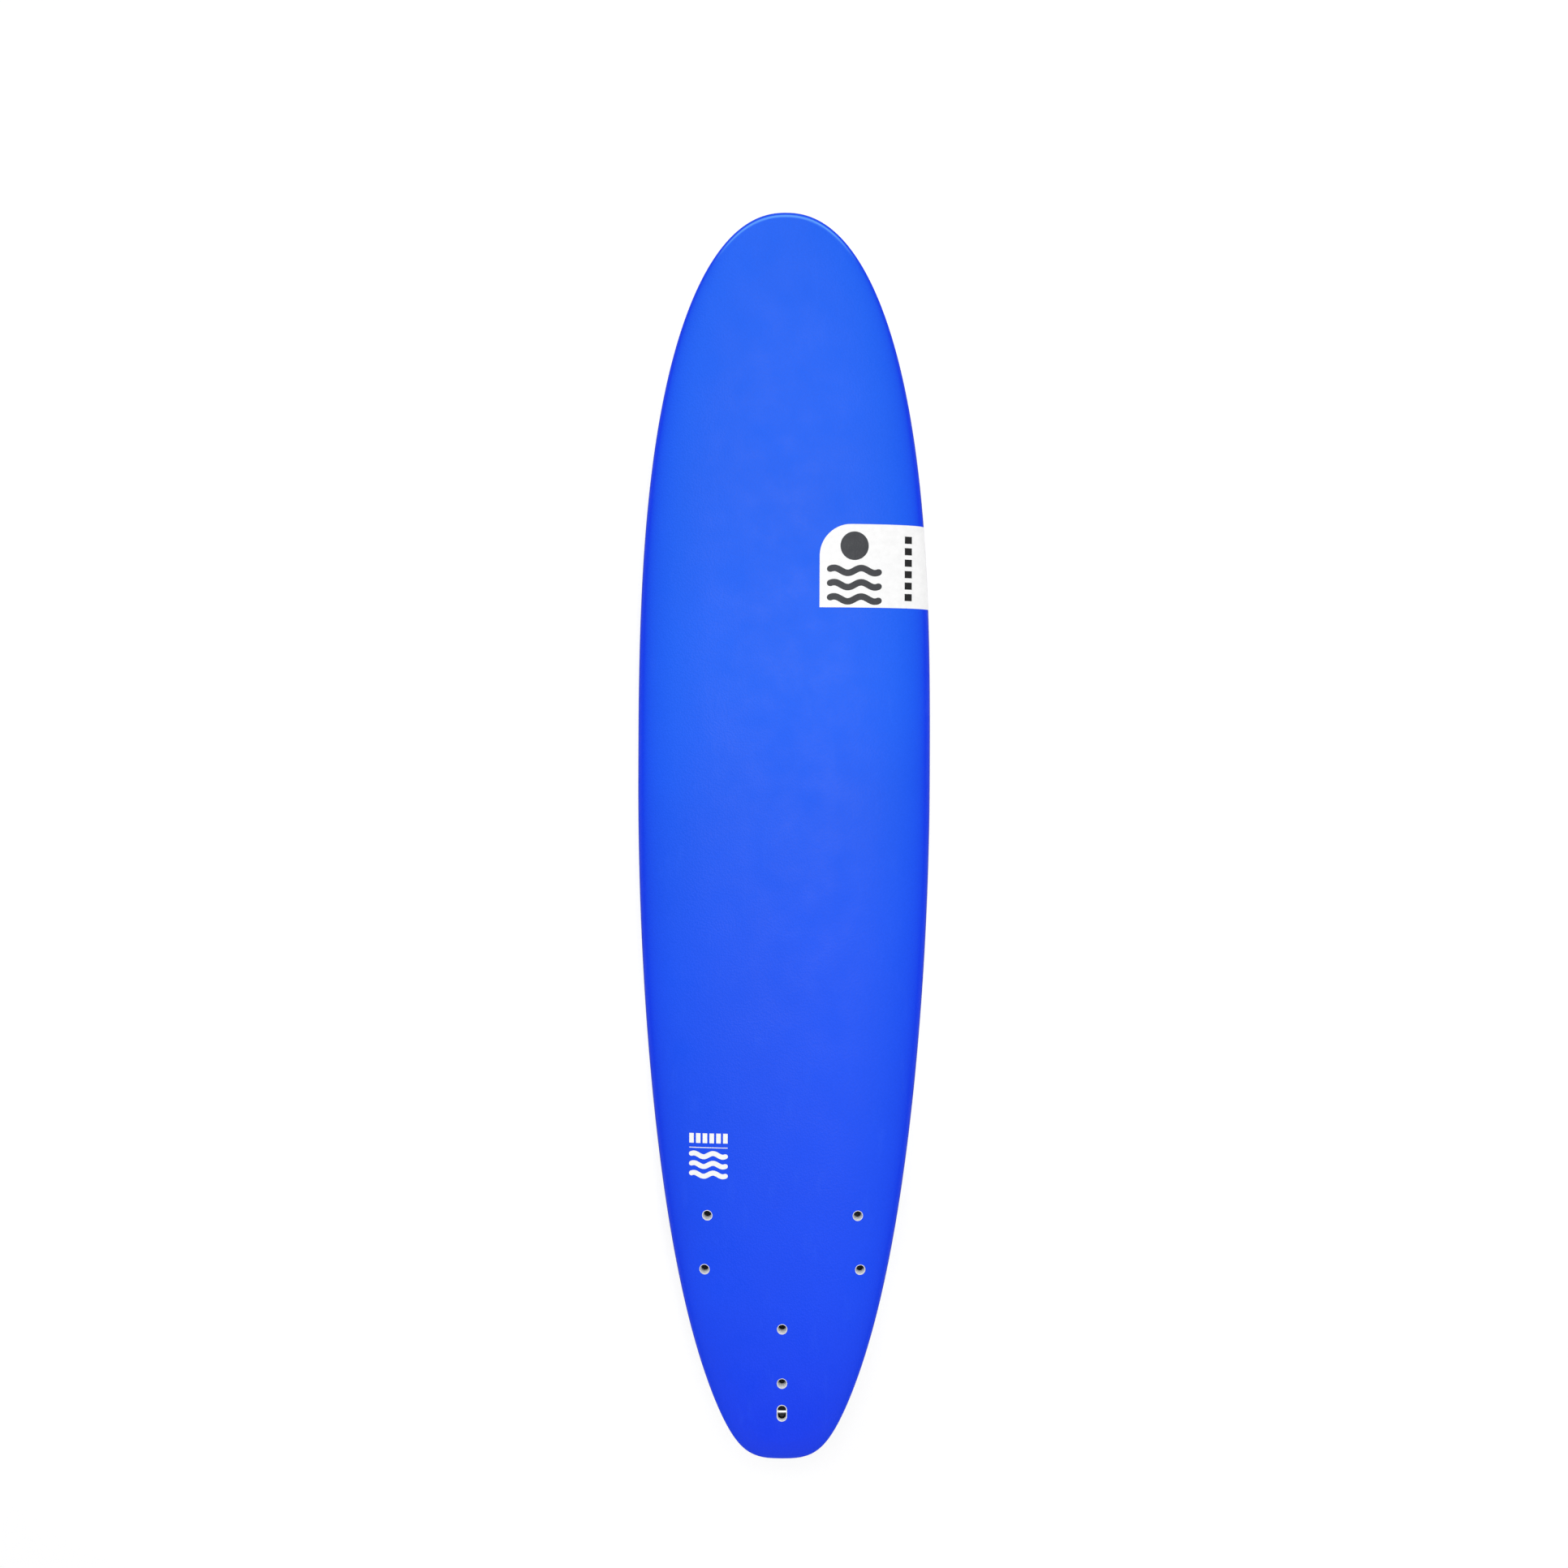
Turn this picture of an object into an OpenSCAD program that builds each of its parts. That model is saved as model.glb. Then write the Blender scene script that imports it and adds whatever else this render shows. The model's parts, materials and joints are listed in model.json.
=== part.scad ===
// Soft-deck surfboard, 7 ft 6 in, lying deck up on its two side fins and its belly.
// Board space: X across, Y from the tail end to the nose, Z up from the lowest point of the bottom.
// Row space: the same, pitched nose down until fins and belly touch the floor, at the box's middle.

/* [Board] */
// Length from the tail end to the nose
board_l = 2286; // [2100:1:2450]
// Greatest width
board_w = 545; // [520:1:570]
// Greatest thickness, at the centre line
board_t = 82; // [78:1:88]
// Place of the greatest width, as a share of the length from the tail
wide_at = 0.545; // [0.5:0.005:0.58]
// Place of the greatest thickness, as a share of the length from the tail
thick_at = 0.52; // [0.48:0.005:0.56]
// Place of the lowest point of the bottom, as a share of the length from the tail
low_at = 0.46; // [0.42:0.005:0.5]
// Lift of the bottom at the nose end
nose_rocker = 115; // [90:1:130]
// Lift of the bottom at the tail end
tail_rocker = 48; // [35:1:55]
// Thickness at the nose end
nose_t = 24; // [22:1:30]
// Thickness at the tail end
tail_t = 30; // [28:1:36]
// Height of the rail's outermost line, as a share of the thickness
rail_at = 0.42; // [0.38:0.01:0.5]

/* [Layers] */
// Soft foam skin of the deck and rails
skin_t = 5; // [4:0.5:6]
// Slick plastic sheet on the bottom
slick_t = 2; // [1.8:0.1:2.4]
// Glass and resin laminate, on both sides of the foam blank
laminate_t = 1.5; // [1.2:0.1:2]
// Thickness of each wooden stringer
stringer_w = 4; // [3:0.5:6]
// Distance of each stringer from the centre line
stringer_x = 42; // [34:1:60]
// Glue line between layers
glue = 0.1; // [0.1:0.05:0.2]

/* [Fin plugs] */
// Side plugs: distance from the tail of the rear and the front one
side_y = [355, 455]; // [300:0.5:480]
// Side plugs: distance from the centre line of the rear and the front one
side_x = [143.5, 138.7]; // [120:0.1:150]
// Centre plugs: distance from the tail of the rear and the front one
centre_y = [146.5, 247]; // [135:0.5:260]
// Radius of a plug's rim on the deck
rim_r = 9.5; // [9.2:0.1:10.5]
// Radius of a plug's barrel through the board
barrel_r = 8.6; // [8.4:0.1:8.8]
// Radius of the recess for the bolt head
recess_r = 6.8; // [6.6:0.1:7]
// Depth of the recess below the deck
recess_depth = 20; // [18:0.5:21]
// Radius of a plug's flange on the bottom
flange_r = 12; // [11:0.5:14]

/* [Fins] */
// Depth of each fin below its base plate
fin_depth = 110; // [90:1:120]
// Chord of each fin at its base
fin_chord = 116; // [106:1:120]
// Thickness of the foil at its base
fin_t = 7; // [6:0.5:8]
// Outward lean of the side fins
fin_cant = 5; // [3:0.5:7]
// Radius of a fin's post
post_r = 6; // [5.6:0.1:6]

/* [Leash plug] */
// Distance of the leash plug from the tail
leash_y = 91.5; // [80:0.5:95]
// Length of the slot
slot_l = 27; // [24:0.5:30]
// Width of the slot
slot_w = 15; // [14:0.5:17]
// Depth of the cup
cup_depth = 20; // [18:0.5:22]
// Wall of the cup
cup_wall = 2; // [1.8:0.1:2.2]
// Radius of the steel bar
bar_r = 3; // [2.5:0.25:3]

/* [Hidden] */
$fn = 48;

PLUGS = ["left_front", "left_rear", "centre_front", "centre_rear", "right_front", "right_rear"];
FINS = ["left", "centre", "right"];
function named(kind, list) = [for (one = list) str(kind, "_", one)];

// ---- Shape of the board ----
wide_y = wide_at * board_l;
thick_y = thick_at * board_l;
low_y = low_at * board_l;

// Outline, as a superellipse in each half: nose and tail have their own exponents
nose_full = 2.8;
nose_round = 2.2;
tail_full = 1.9;
tail_round = [0.435, 0.075, 20];
nose_steps = 18;
tail_steps = 20;
outline_steps = tail_steps + nose_steps;
function tail_power(u) = tail_round[0] - tail_round[1] * pow(u, tail_round[2]);
function tail_point(a) = let (u = pow(sin(a), 2 / tail_full))
    [board_w / 2 * pow(cos(a), 2 * tail_power(u)), wide_y * (1 - u)];
function nose_point(a) = let (u = pow(sin(a), 2 / nose_full))
    [board_w / 2 * pow(cos(a), 2 / nose_round), wide_y + (board_l - wide_y) * u];
function outline(j) =
    j == 0 ? [0, 0] :
    j == outline_steps ? [0, board_l] :
    j <= tail_steps ? tail_point(90 * (1 - j / tail_steps)) :
    nose_point(90 * (j - tail_steps) / nose_steps);
function unit(v) = v / norm(v);
function turned(v) = [v.y, -v.x];
function normal(j) =
    j == 0 ? [0, -1] :
    j == outline_steps ? [0, 1] : turned(unit(outline(j + 1) - outline(j - 1)));

// Half width at a distance y from the tail
function half_width(y) =
    y < wide_y
        ? let (u = (wide_y - y) / wide_y)
            board_w / 2 * pow(1 - pow(u, tail_full), tail_power(u))
        : let (u = (y - wide_y) / (board_l - wide_y))
            board_w / 2 * pow(1 - pow(u, nose_full), 1 / nose_round);

// Share of the way from a line at "from" to the nose or the tail end
function share(y, from) = y > from ? (y - from) / (board_l - from) : (from - y) / from;
nose_lift = 2.4;
tail_lift = 2.2;
nose_thinning = 2.6;
tail_thinning = 3.2;
function bottom_z(y) = y > low_y
    ? nose_rocker * pow(share(y, low_y), nose_lift) : tail_rocker * pow(share(y, low_y), tail_lift);
function thickness(y) = y > thick_y
    ? board_t - (board_t - nose_t) * pow(share(y, thick_y), nose_thinning)
    : board_t - (board_t - tail_t) * pow(share(y, thick_y), tail_thinning);
function rail_z(y) = bottom_z(y) + rail_at * thickness(y);

// Crown of the deck and roll of the bottom: f is the share of the way from the centre to the outline
deck_full = 3.2;
bottom_full = 10;
bottom_round = 1.8;
function deck_rise(y) = (1 - rail_at) * thickness(y);
function deck_z(x, y) = rail_z(y) + deck_rise(y) * sqrt(1 - pow(abs(x) / half_width(y), deck_full));
function belly_roll(x, y) = pow(1 - pow(abs(x) / half_width(y), bottom_full), 1 / bottom_round);
function belly_z(x, y) = rail_z(y) - rail_at * thickness(y) * belly_roll(x, y);
// Slopes of the deck and the bottom, in degrees
function deck_slope_x(x, y) = atan((deck_z(x + 1, y) - deck_z(x - 1, y)) / 2);
function deck_slope_y(x, y) = atan((deck_z(x, y + 1) - deck_z(x, y - 1)) / 2);
function bottom_slope(y) = atan((bottom_z(y + 1) - bottom_z(y - 1)) / 2);

// ---- Layers ----
// Each layer's surface is [inset from the outline, drop from the deck, lift from the bottom]
OUTSIDE = [0, 0, 0];
SKIN_INSIDE = [skin_t, skin_t, slick_t];
LAMINATE_OUTSIDE = SKIN_INSIDE + [glue, glue, glue];
LAMINATE_INSIDE = LAMINATE_OUTSIDE + laminate_t * [1, 1, 1];
CORE_OUTSIDE = LAMINATE_INSIDE + [glue, glue, glue];

// Rings from the centre line (0) over the deck to the rail's outermost line (90), and back below (180)
DECK_RINGS = [12, 26, 41, 56, 69, 80, 90];
WRAP_RINGS = [103, 118, 135];
BELLY_RINGS = [135.6, 155, 172];
LOWER_RINGS = [103, 118, 135, 155, 172];
// Line on the centre that the rings close to
spine_ends = [110, 150];
function spine_y(j) = spine_ends[0] + (board_l - spine_ends[0] - spine_ends[1]) * outline(j).y / board_l;
function ring_share(a) = a <= 90 ? pow(sin(a), 2 / deck_full) : pow(sin(a), 2 / bottom_full);
function ring_z(a, y, layer, seam) = a <= 90
    ? rail_z(y) + seam + (deck_rise(y) - layer[1] - seam) * cos(a)
    : rail_z(y) - seam - (rail_at * thickness(y) - layer[2] - seam) * pow(-cos(a), 2 / bottom_round);
// Column i runs round the outline: right side from tail to nose, then left side back
columns = 2 * outline_steps;
function row_of(i) = i <= outline_steps ? i : columns - i;
function side_of(i) = i <= outline_steps ? 1 : -1;
function ring_point(a, i, layer, seam) = let (
    j = row_of(i),
    edge = outline(j) - layer[0] * normal(j),
    f = ring_share(a),
    y = spine_y(j) + f * (edge.y - spine_y(j))
) [side_of(i) * f * edge.x, y, ring_z(a, y, layer, seam)];
function spine_point(j, layer, top) = let (y = spine_y(j))
    [0, y, top ? ring_z(0, y, layer, 0) : ring_z(180, y, layer, 0)];
function rings(angles, layer, seam = 0) =
    [for (a = angles) for (i = [0 : columns - 1]) ring_point(a, i, layer, seam)];
function spine(layer, top) = [for (j = [0 : outline_steps]) spine_point(j, layer, top)];

// Faces between rings n and n + 1, and from a ring to a spine that starts at point "at". Going back,
// the rings run the other way, and each four-sided face is parted along the same diagonal as going out
function band(n, back) = [for (i = [0 : columns - 1]) let (
    k = (i + 1) % columns,
    a = n * columns,
    b = a + columns
) each (back
    ? [[a + i, a + k, b + i], [a + k, b + k, b + i]]
    : [[a + i, a + k, b + k], [a + i, b + k, b + i]])];
function fan(n, at, up) = [for (i = [0 : columns - 1]) let (
    k = (i + 1) % columns,
    p = n * columns + i,
    q = n * columns + k,
    s = at + row_of(i),
    t = at + row_of(k)
) each (up ? [[p, q, s], [q, t, s]] : [[q, p, s], [q, s, t]])];

// A closed solid through a list of rings, with a spine before the first and after the last; the bands
// listed in "backward" run the other way
module shell(points, ring_count, first_spine, last_spine, backward = []) {
    start = ring_count * columns;
    polyhedron(
        points = concat(points, first_spine, last_spine),
        faces = concat(
            [for (n = [0 : ring_count - 2]) each band(n, len(search(n, backward)) > 0)],
            fan(0, start, false),
            fan(ring_count - 1, start + outline_steps + 1, true)
        ),
        convexity = 6
    );
}
function reversed(list) = [for (n = [len(list) - 1 : -1 : 0]) list[n]];
// A skin from the deck's centre line outward: outer surface out, inner surface back
module skin(angles, outer, inner, seam = 0) {
    shell(
        concat(rings(angles, outer, seam), rings(reversed(angles), inner, seam)),
        2 * len(angles), spine(outer, true), spine(inner, true),
        [for (n = [len(angles) : 2 * len(angles) - 2]) n]
    );
}
// A skin under the board: inner surface out from the bottom's centre line, outer surface back
module under(angles, outer, inner, seam = 0) {
    shell(
        concat(rings(reversed(angles), inner, seam), rings(angles, outer, seam)),
        2 * len(angles), spine(inner, false), spine(outer, false),
        [for (n = [0 : len(angles) - 2]) n]
    );
}
module whole(layer) {
    angles = concat(DECK_RINGS, LOWER_RINGS);
    shell(rings(angles, layer), len(angles), spine(layer, true), spine(layer, false));
}

// ---- Places of the plugs ----
function side_plug(hand, n) = [hand * side_x[n], side_y[n]];
PLACES = [
    side_plug(-1, 1), side_plug(-1, 0), [0, centre_y[1]], [0, centre_y[0]], side_plug(1, 1), side_plug(1, 0)
];
function top_at(place) = [place.x, place.y, deck_z(place.x, place.y)];
function base_at(place) = [place.x, place.y, belly_z(place.x, place.y)];

// Heights along a plug, from the bottom surface
post_h = 14;
socket_gap = 0.6;
insert_low = 1.5;
bolt_low = 2.5;
floor_t = 4;
washer_t = 1;
head_h = 3.6;
fit_gap = 0.05;
barrel_gap = 0.15;
reach = 200;
rim_t = 3;
flange_t = 1.8;
proud = 0.5;
flange_proud = 0.1;
bolt_r = 2.9;
bolt_hole_r = 3.3;
insert_r = 4.2;
insert_bore_r = 3.1;
function floor_z(place) = deck_z(place.x, place.y) - recess_depth;

// The sloped disc that a plug's rim makes on the deck
module rim(place, r, low, high) {
    translate(top_at(place))
        rotate([deck_slope_y(place.x, place.y), -deck_slope_x(place.x, place.y), 0])
            translate([0, 0, low])
                cylinder(r = r, h = high - low);
}
// The sloped disc that a plug's flange makes on the bottom
module flange(place, r, low, high) {
    translate(base_at(place))
        rotate([bottom_slope(place.y), 0, 0])
            translate([0, 0, low])
                cylinder(r = r, h = high - low);
}
module barrel_holes() {
    for (place = PLACES)
        translate([place.x, place.y, -reach / 2])
            cylinder(r = barrel_r + barrel_gap, h = 2 * reach);
}
module slot(width, length, height) {
    offset_y = (length - width) / 2;
    for (end = [-1, 1])
        translate([0, end * offset_y, 0])
            cylinder(d = width, h = height);
    translate([-width / 2, -offset_y, 0])
        cube([width, 2 * offset_y, height]);
}
leash_top = deck_z(0, leash_y);
cup_w = slot_w + 2 * cup_wall;
cup_l = slot_l + 2 * cup_wall;
module leash_pocket() {
    gap = 2 * barrel_gap;
    translate([0, leash_y, leash_top - cup_depth - barrel_gap])
        slot(cup_w + gap, cup_l + gap, reach);
}

// ---- Lie of the board on the floor ----
fin_gap = 0.6;
plate_t = 4;
plate_margin = 1.5;
plate_w = 2 * (post_r + plate_margin);
fin_mid_side = [(side_x[0] + side_x[1]) / 2, (side_y[0] + side_y[1]) / 2];
toe_in = atan((side_x[0] - side_x[1]) / (side_y[1] - side_y[0]));
FIN_PLACES = [[-fin_mid_side.x, fin_mid_side.y], [0, (centre_y[0] + centre_y[1]) / 2], fin_mid_side];

// Blade: leading and trailing edge at a share d of the depth, and its foil at a share u of the chord
fin_rows = 9;
fin_end = 74;
fin_sections = [for (n = [0 : fin_rows]) sin(fin_end * n / fin_rows)];
foil_steps = 6;
fin_rake = 1.8;
fin_overhang = 2;
fin_hollow = [16, 0.9];
foil_edge = 0.08;
foil_belly = 2.4;
foil_thinning = 0.8;
inner_face = 0.15;
plate_overlap = 1;
function lead(d) = fin_chord / 2 - (fin_chord + fin_overhang) * pow(d, fin_rake);
function trail(d) = fin_hollow[0] * sin(180 * pow(d, fin_hollow[1])) - fin_chord / 2 - fin_overhang * d;
function foil(u) = foil_edge + foil_belly * sqrt(u) * (1 - u);
function blade_point(d, v, flat) = let (
    u = (1 - cos(180 * abs(v))) / 2,
    chord = lead(d) - trail(d),
    half = fin_t / 2 * pow(chord / fin_chord, foil_thinning) * foil(u),
    x = flat ? (v > 0 ? 2 * half : -inner_face * half) - fin_t / 2 : (v > 0 ? half : -half)
) [x, lead(d) - u * chord, plate_overlap - fin_gap - plate_t - (fin_depth + plate_overlap) * d];
blade_loop = concat(
    [for (n = [0 : foil_steps]) n / foil_steps],
    [for (n = [foil_steps : -1 : 1]) -n / foil_steps]
);
function blade_points(flat) = [for (d = fin_sections) for (v = blade_loop) blade_point(d, v, flat)];
blade_count = len(blade_loop);
module blade(flat) {
    last = (len(fin_sections) - 1) * blade_count;
    sides = [for (n = [0 : len(fin_sections) - 2]) for (i = [0 : blade_count - 1]) let (
        k = (i + 1) % blade_count,
        a = n * blade_count
    ) each [[a + k, a + i, a + blade_count + k], [a + i, a + blade_count + i, a + blade_count + k]]];
    ends = [[for (i = [0 : blade_count - 1]) i], [for (i = [blade_count - 1 : -1 : 0]) last + i]];
    polyhedron(points = blade_points(flat), faces = concat(sides, ends), convexity = 4);
}

// Right fin's blade point in board space
function swing_x(p, a) = [p.x, p.y * cos(a) - p.z * sin(a), p.y * sin(a) + p.z * cos(a)];
function swing_y(p, a) = [p.x * cos(a) + p.z * sin(a), p.y, p.z * cos(a) - p.x * sin(a)];
function swing_z(p, a) = [p.x * cos(a) - p.y * sin(a), p.x * sin(a) + p.y * cos(a), p.z];
function side_blade_point(p) =
    base_at(fin_mid_side) + swing_z(swing_x(swing_y(p, -fin_cant), bottom_slope(fin_mid_side.y)), toe_in);

// Nose-down pitch at which the side fins and the belly touch one floor
TIPS = [for (p = blade_points(true)) side_blade_point(p)];
BELLY = concat(rings(BELLY_RINGS, OUTSIDE), spine(OUTSIDE, false));
function height(p, a) = p.z * cos(a) - p.y * sin(a);
function lowest(points, a) = min([for (p = points) height(p, a)]);
function pitch_between(low, high, steps) = let (middle = (low + high) / 2)
    steps == 0 ? middle :
    lowest(TIPS, middle) < lowest(BELLY, middle)
        ? pitch_between(middle, high, steps - 1) : pitch_between(low, middle, steps - 1);
steepest = 12;
halvings = 20;
pitch = pitch_between(0, steepest, halvings);
function along(p) = p.y * cos(pitch) + p.z * sin(pitch);
EDGE = [for (p = rings([90], OUTSIDE)) along(p)];
row_shift = [0, -(min(EDGE) + max(EDGE)) / 2, -min(lowest(BELLY, pitch), lowest(TIPS, pitch))];
module placed() {
    translate(row_shift)
        rotate([-pitch, 0, 0])
            children();
}

// ---- Foam blank, stringers and laminate ----
slab = 400;
core_side = stringer_x + stringer_w / 2 + glue;
core_middle = stringer_x - stringer_w / 2 - glue;
module lengthwise(x_low, x_high) {
    intersection() {
        whole(CORE_OUTSIDE);
        translate([x_low, -1, -slab / 2])
            cube([x_high - x_low, board_l + 2, slab]);
    }
}
module foam_core(x_low, x_high) {
    color("ivory")
        placed()
            difference() {
                lengthwise(x_low, x_high);
                barrel_holes();
                leash_pocket();
            }
}
module stringer(hand) {
    color("burlywood")
        placed()
            lengthwise(hand * stringer_x - stringer_w / 2, hand * stringer_x + stringer_w / 2);
}
module deck_laminate() {
    color("honeydew")
        placed()
            difference() {
                skin(DECK_RINGS, LAMINATE_OUTSIDE, LAMINATE_INSIDE, glue / 2);
                barrel_holes();
                leash_pocket();
            }
}
module bottom_laminate() {
    // the rail's outermost line, on its lower side
    edge = 90.001;
    angles = concat([edge], LOWER_RINGS);
    color("honeydew")
        placed()
            difference() {
                under(angles, LAMINATE_OUTSIDE, LAMINATE_INSIDE, glue / 2);
                barrel_holes();
            }
}

// ---- Skins ----
module deck_skin() {
    color("royalblue")
        placed()
            difference() {
                skin(concat(DECK_RINGS, WRAP_RINGS), OUTSIDE, SKIN_INSIDE);
                barrel_holes();
                leash_pocket();
                for (place = PLACES)
                    rim(place, rim_r + barrel_gap, -rim_t - glue, 3 * rim_t);
            }
}
module bottom_skin() {
    color("white")
        placed()
            difference() {
                under(BELLY_RINGS, OUTSIDE, SKIN_INSIDE);
                for (place = PLACES)
                    flange(place, flange_r + barrel_gap, -flange_r, flange_r);
            }
}

// ---- Plugs through the board ----
module deck_plug(n) {
    place = PLACES[n];
    color("whitesmoke")
        placed()
            difference() {
                union() {
                    rim(place, rim_r, -rim_t, proud);
                    translate([place.x, place.y, floor_z(place) - floor_t])
                        cylinder(r = barrel_r, h = recess_depth + floor_t - rim_t / 2);
                }
                translate([place.x, place.y, floor_z(place)])
                    cylinder(r = recess_r, h = 2 * recess_depth);
                translate([place.x, place.y, floor_z(place) - 2 * floor_t])
                    cylinder(r = bolt_hole_r, h = 3 * floor_t);
            }
}
module bottom_plug(n) {
    place = PLACES[n];
    base = base_at(place);
    column_low = flange_t / 2;
    column_top = floor_z(place) - floor_t - fit_gap;
    color("whitesmoke")
        placed()
            difference() {
                union() {
                    flange(place, flange_r, -flange_proud, flange_t);
                    translate(base + [0, 0, column_low])
                        cylinder(r = barrel_r, h = column_top - base.z - column_low);
                }
                translate(base - [0, 0, flange_r])
                    cylinder(r = post_r + 2 * barrel_gap, h = flange_r + post_h + socket_gap);
                translate(base)
                    cylinder(r = bolt_hole_r, h = reach);
            }
}

// ---- Leash plug ----
module leash_plug_cup() {
    color("whitesmoke")
        placed()
            translate([0, leash_y, leash_top])
                difference() {
                    translate([0, 0, -cup_depth])
                        slot(cup_w, cup_l, cup_depth + proud);
                    translate([0, 0, cup_wall - cup_depth])
                        slot(slot_w, slot_l, 2 * cup_depth);
                    leash_bar(bar_r + fit_gap, bar_len + 2 * fit_gap);
                }
}
bar_len = slot_w + 1.5 * cup_wall;
bar_y = 1.5;
bar_drop = 5;
module leash_bar(r, length) {
    translate([-length / 2, bar_y, -bar_drop])
        rotate([0, 90, 0])
            cylinder(r = r, h = length);
}
module leash_plug_bar() {
    color("silver")
        placed()
            translate([0, leash_y, leash_top])
                leash_bar(bar_r, bar_len);
}

// ---- Fins, their inserts and bolts ----
module fin(n) {
    hand = n - 1;
    flat = hand != 0;
    middle = [abs(FIN_PLACES[n].x), FIN_PLACES[n].y];
    posts = [for (k = [0, 1]) let (place = PLACES[2 * n + k]) [abs(place.x), place.y]];
    color("dimgray")
        placed()
            mirror([hand < 0 ? 1 : 0, 0, 0])
                difference() {
                    union() {
                        translate(base_at(middle))
                            rotate([0, 0, flat ? toe_in : 0])
                                rotate([bottom_slope(middle.y), 0, 0])
                                    fin_foot(flat);
                        for (place = posts)
                            translate(base_at(place) - [0, 0, fin_gap + plate_t / 2])
                                cylinder(r = post_r, h = post_h + fin_gap + plate_t / 2);
                    }
                    for (place = posts)
                        translate(base_at(place) + [0, 0, insert_low - fit_gap])
                            cylinder(r = insert_r + fit_gap, h = post_h);
                }
}
module fin_foot(flat) {
    span = norm(fin_mid_side - [side_x[0], side_y[0]]) * 2;
    rotate([0, flat ? -fin_cant : 0, 0])
        blade(flat);
    translate([0, 0, -fin_gap - plate_t])
        slot(plate_w, span + plate_w, plate_t);
}
module fin_insert(n) {
    base = base_at(PLACES[n]);
    color("goldenrod")
        placed()
            translate(base + [0, 0, insert_low])
                difference() {
                    cylinder(r = insert_r, h = post_h - insert_low - 2 * fit_gap);
                    translate([0, 0, -1])
                        cylinder(r = insert_bore_r, h = post_h + 2);
                }
}
washer_in_r = 3.2;
washer_out_r = 6.2;
module washer(n) {
    place = PLACES[n];
    color("black")
        placed()
            translate([place.x, place.y, floor_z(place) + fit_gap])
                difference() {
                    cylinder(r = washer_out_r, h = washer_t);
                    translate([0, 0, -washer_t])
                        cylinder(r = washer_in_r, h = 3 * washer_t);
                }
}
head_r = 5.4;
socket_r = 2.3;
socket_depth = 2.2;
module bolt(n) {
    place = PLACES[n];
    under_head = floor_z(place) + washer_t + 2 * fit_gap;
    tip = base_at(place).z + bolt_low;
    color("gray")
        placed()
            translate([place.x, place.y, 0])
                difference() {
                    union() {
                        translate([0, 0, tip])
                            cylinder(r = bolt_r, h = under_head - tip + 1);
                        translate([0, 0, under_head])
                            cylinder(r = head_r, h = head_h);
                    }
                    translate([0, 0, under_head + head_h - socket_depth])
                        cylinder(r = socket_r, h = 2 * socket_depth, $fn = 6);
                }
}

foam_core(-slab, -core_side);  // foam_core_left
foam_core(-core_middle, core_middle);  // foam_core_centre
foam_core(core_side, slab);  // foam_core_right
stringer(-1);  // stringer_left
stringer(1);  // stringer_right
deck_laminate();
bottom_laminate();
deck_skin();
bottom_skin();
leash_plug_cup();
leash_plug_bar();
for (n = [0 : len(PLUGS) - 1]) {
    deck_plug(n);
    bottom_plug(n);
    fin_insert(n);
    bolt(n);
    washer(n);
}
for (n = [0 : len(FINS) - 1])
    fin(n);
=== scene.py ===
import json
from math import asin, atan, atan2, ceil, cos, hypot, pi, radians, sin, sqrt, tan

import bmesh
import bpy
from mathutils import Matrix, Vector
from mathutils.bvhtree import BVHTree


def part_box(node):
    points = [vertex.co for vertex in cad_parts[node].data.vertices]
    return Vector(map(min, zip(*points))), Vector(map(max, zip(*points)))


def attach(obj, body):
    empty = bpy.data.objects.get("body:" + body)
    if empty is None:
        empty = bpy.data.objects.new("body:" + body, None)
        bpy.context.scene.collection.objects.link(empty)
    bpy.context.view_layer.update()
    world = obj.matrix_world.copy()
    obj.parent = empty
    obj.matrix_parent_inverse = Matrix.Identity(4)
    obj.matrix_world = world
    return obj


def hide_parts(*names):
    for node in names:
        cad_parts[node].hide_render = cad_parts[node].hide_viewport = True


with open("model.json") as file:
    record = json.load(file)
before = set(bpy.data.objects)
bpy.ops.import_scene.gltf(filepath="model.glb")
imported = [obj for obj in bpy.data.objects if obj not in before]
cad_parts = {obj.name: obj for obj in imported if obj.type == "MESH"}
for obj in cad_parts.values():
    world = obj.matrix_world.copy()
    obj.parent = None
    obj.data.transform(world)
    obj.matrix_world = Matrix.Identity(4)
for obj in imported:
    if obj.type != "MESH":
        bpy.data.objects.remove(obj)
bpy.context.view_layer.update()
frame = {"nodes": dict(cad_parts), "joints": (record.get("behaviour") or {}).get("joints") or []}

bl_info = {
    "name": "Soft-deck surfboard",
    "version": (1, 0, 0),
    "blender": (4, 5, 0),
    "location": "3D View > Sidebar > Surfboard",
    "description": "Makes a soft-deck surfboard with removable fins around its frame",
    "category": "Add Mesh",
}

MM = 0.001
PLUGS = ["left_front", "left_rear", "centre_front", "centre_rear", "right_front", "right_rear"]
FINS = ["left", "centre", "right"]

# ---- Shape of the board: the same formulas as the frame's, in metres ----
TAIL_FULL = 1.9
TAIL_ROUND = 0.435
TAIL_SQUASH = 0.075
TAIL_SQUARE = 20
NOSE_FULL = 2.8
NOSE_ROUND = 2.2
NOSE_LIFT = 2.4
TAIL_LIFT = 2.2
NOSE_THINNING = 2.6
TAIL_THINNING = 3.2
DECK_FULL = 3.2
BOTTOM_FULL = 10
BOTTOM_ROUND = 1.8
SPINE_TAIL = 110 * MM
SPINE_NOSE = 150 * MM
STEP = 1 * MM

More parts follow.
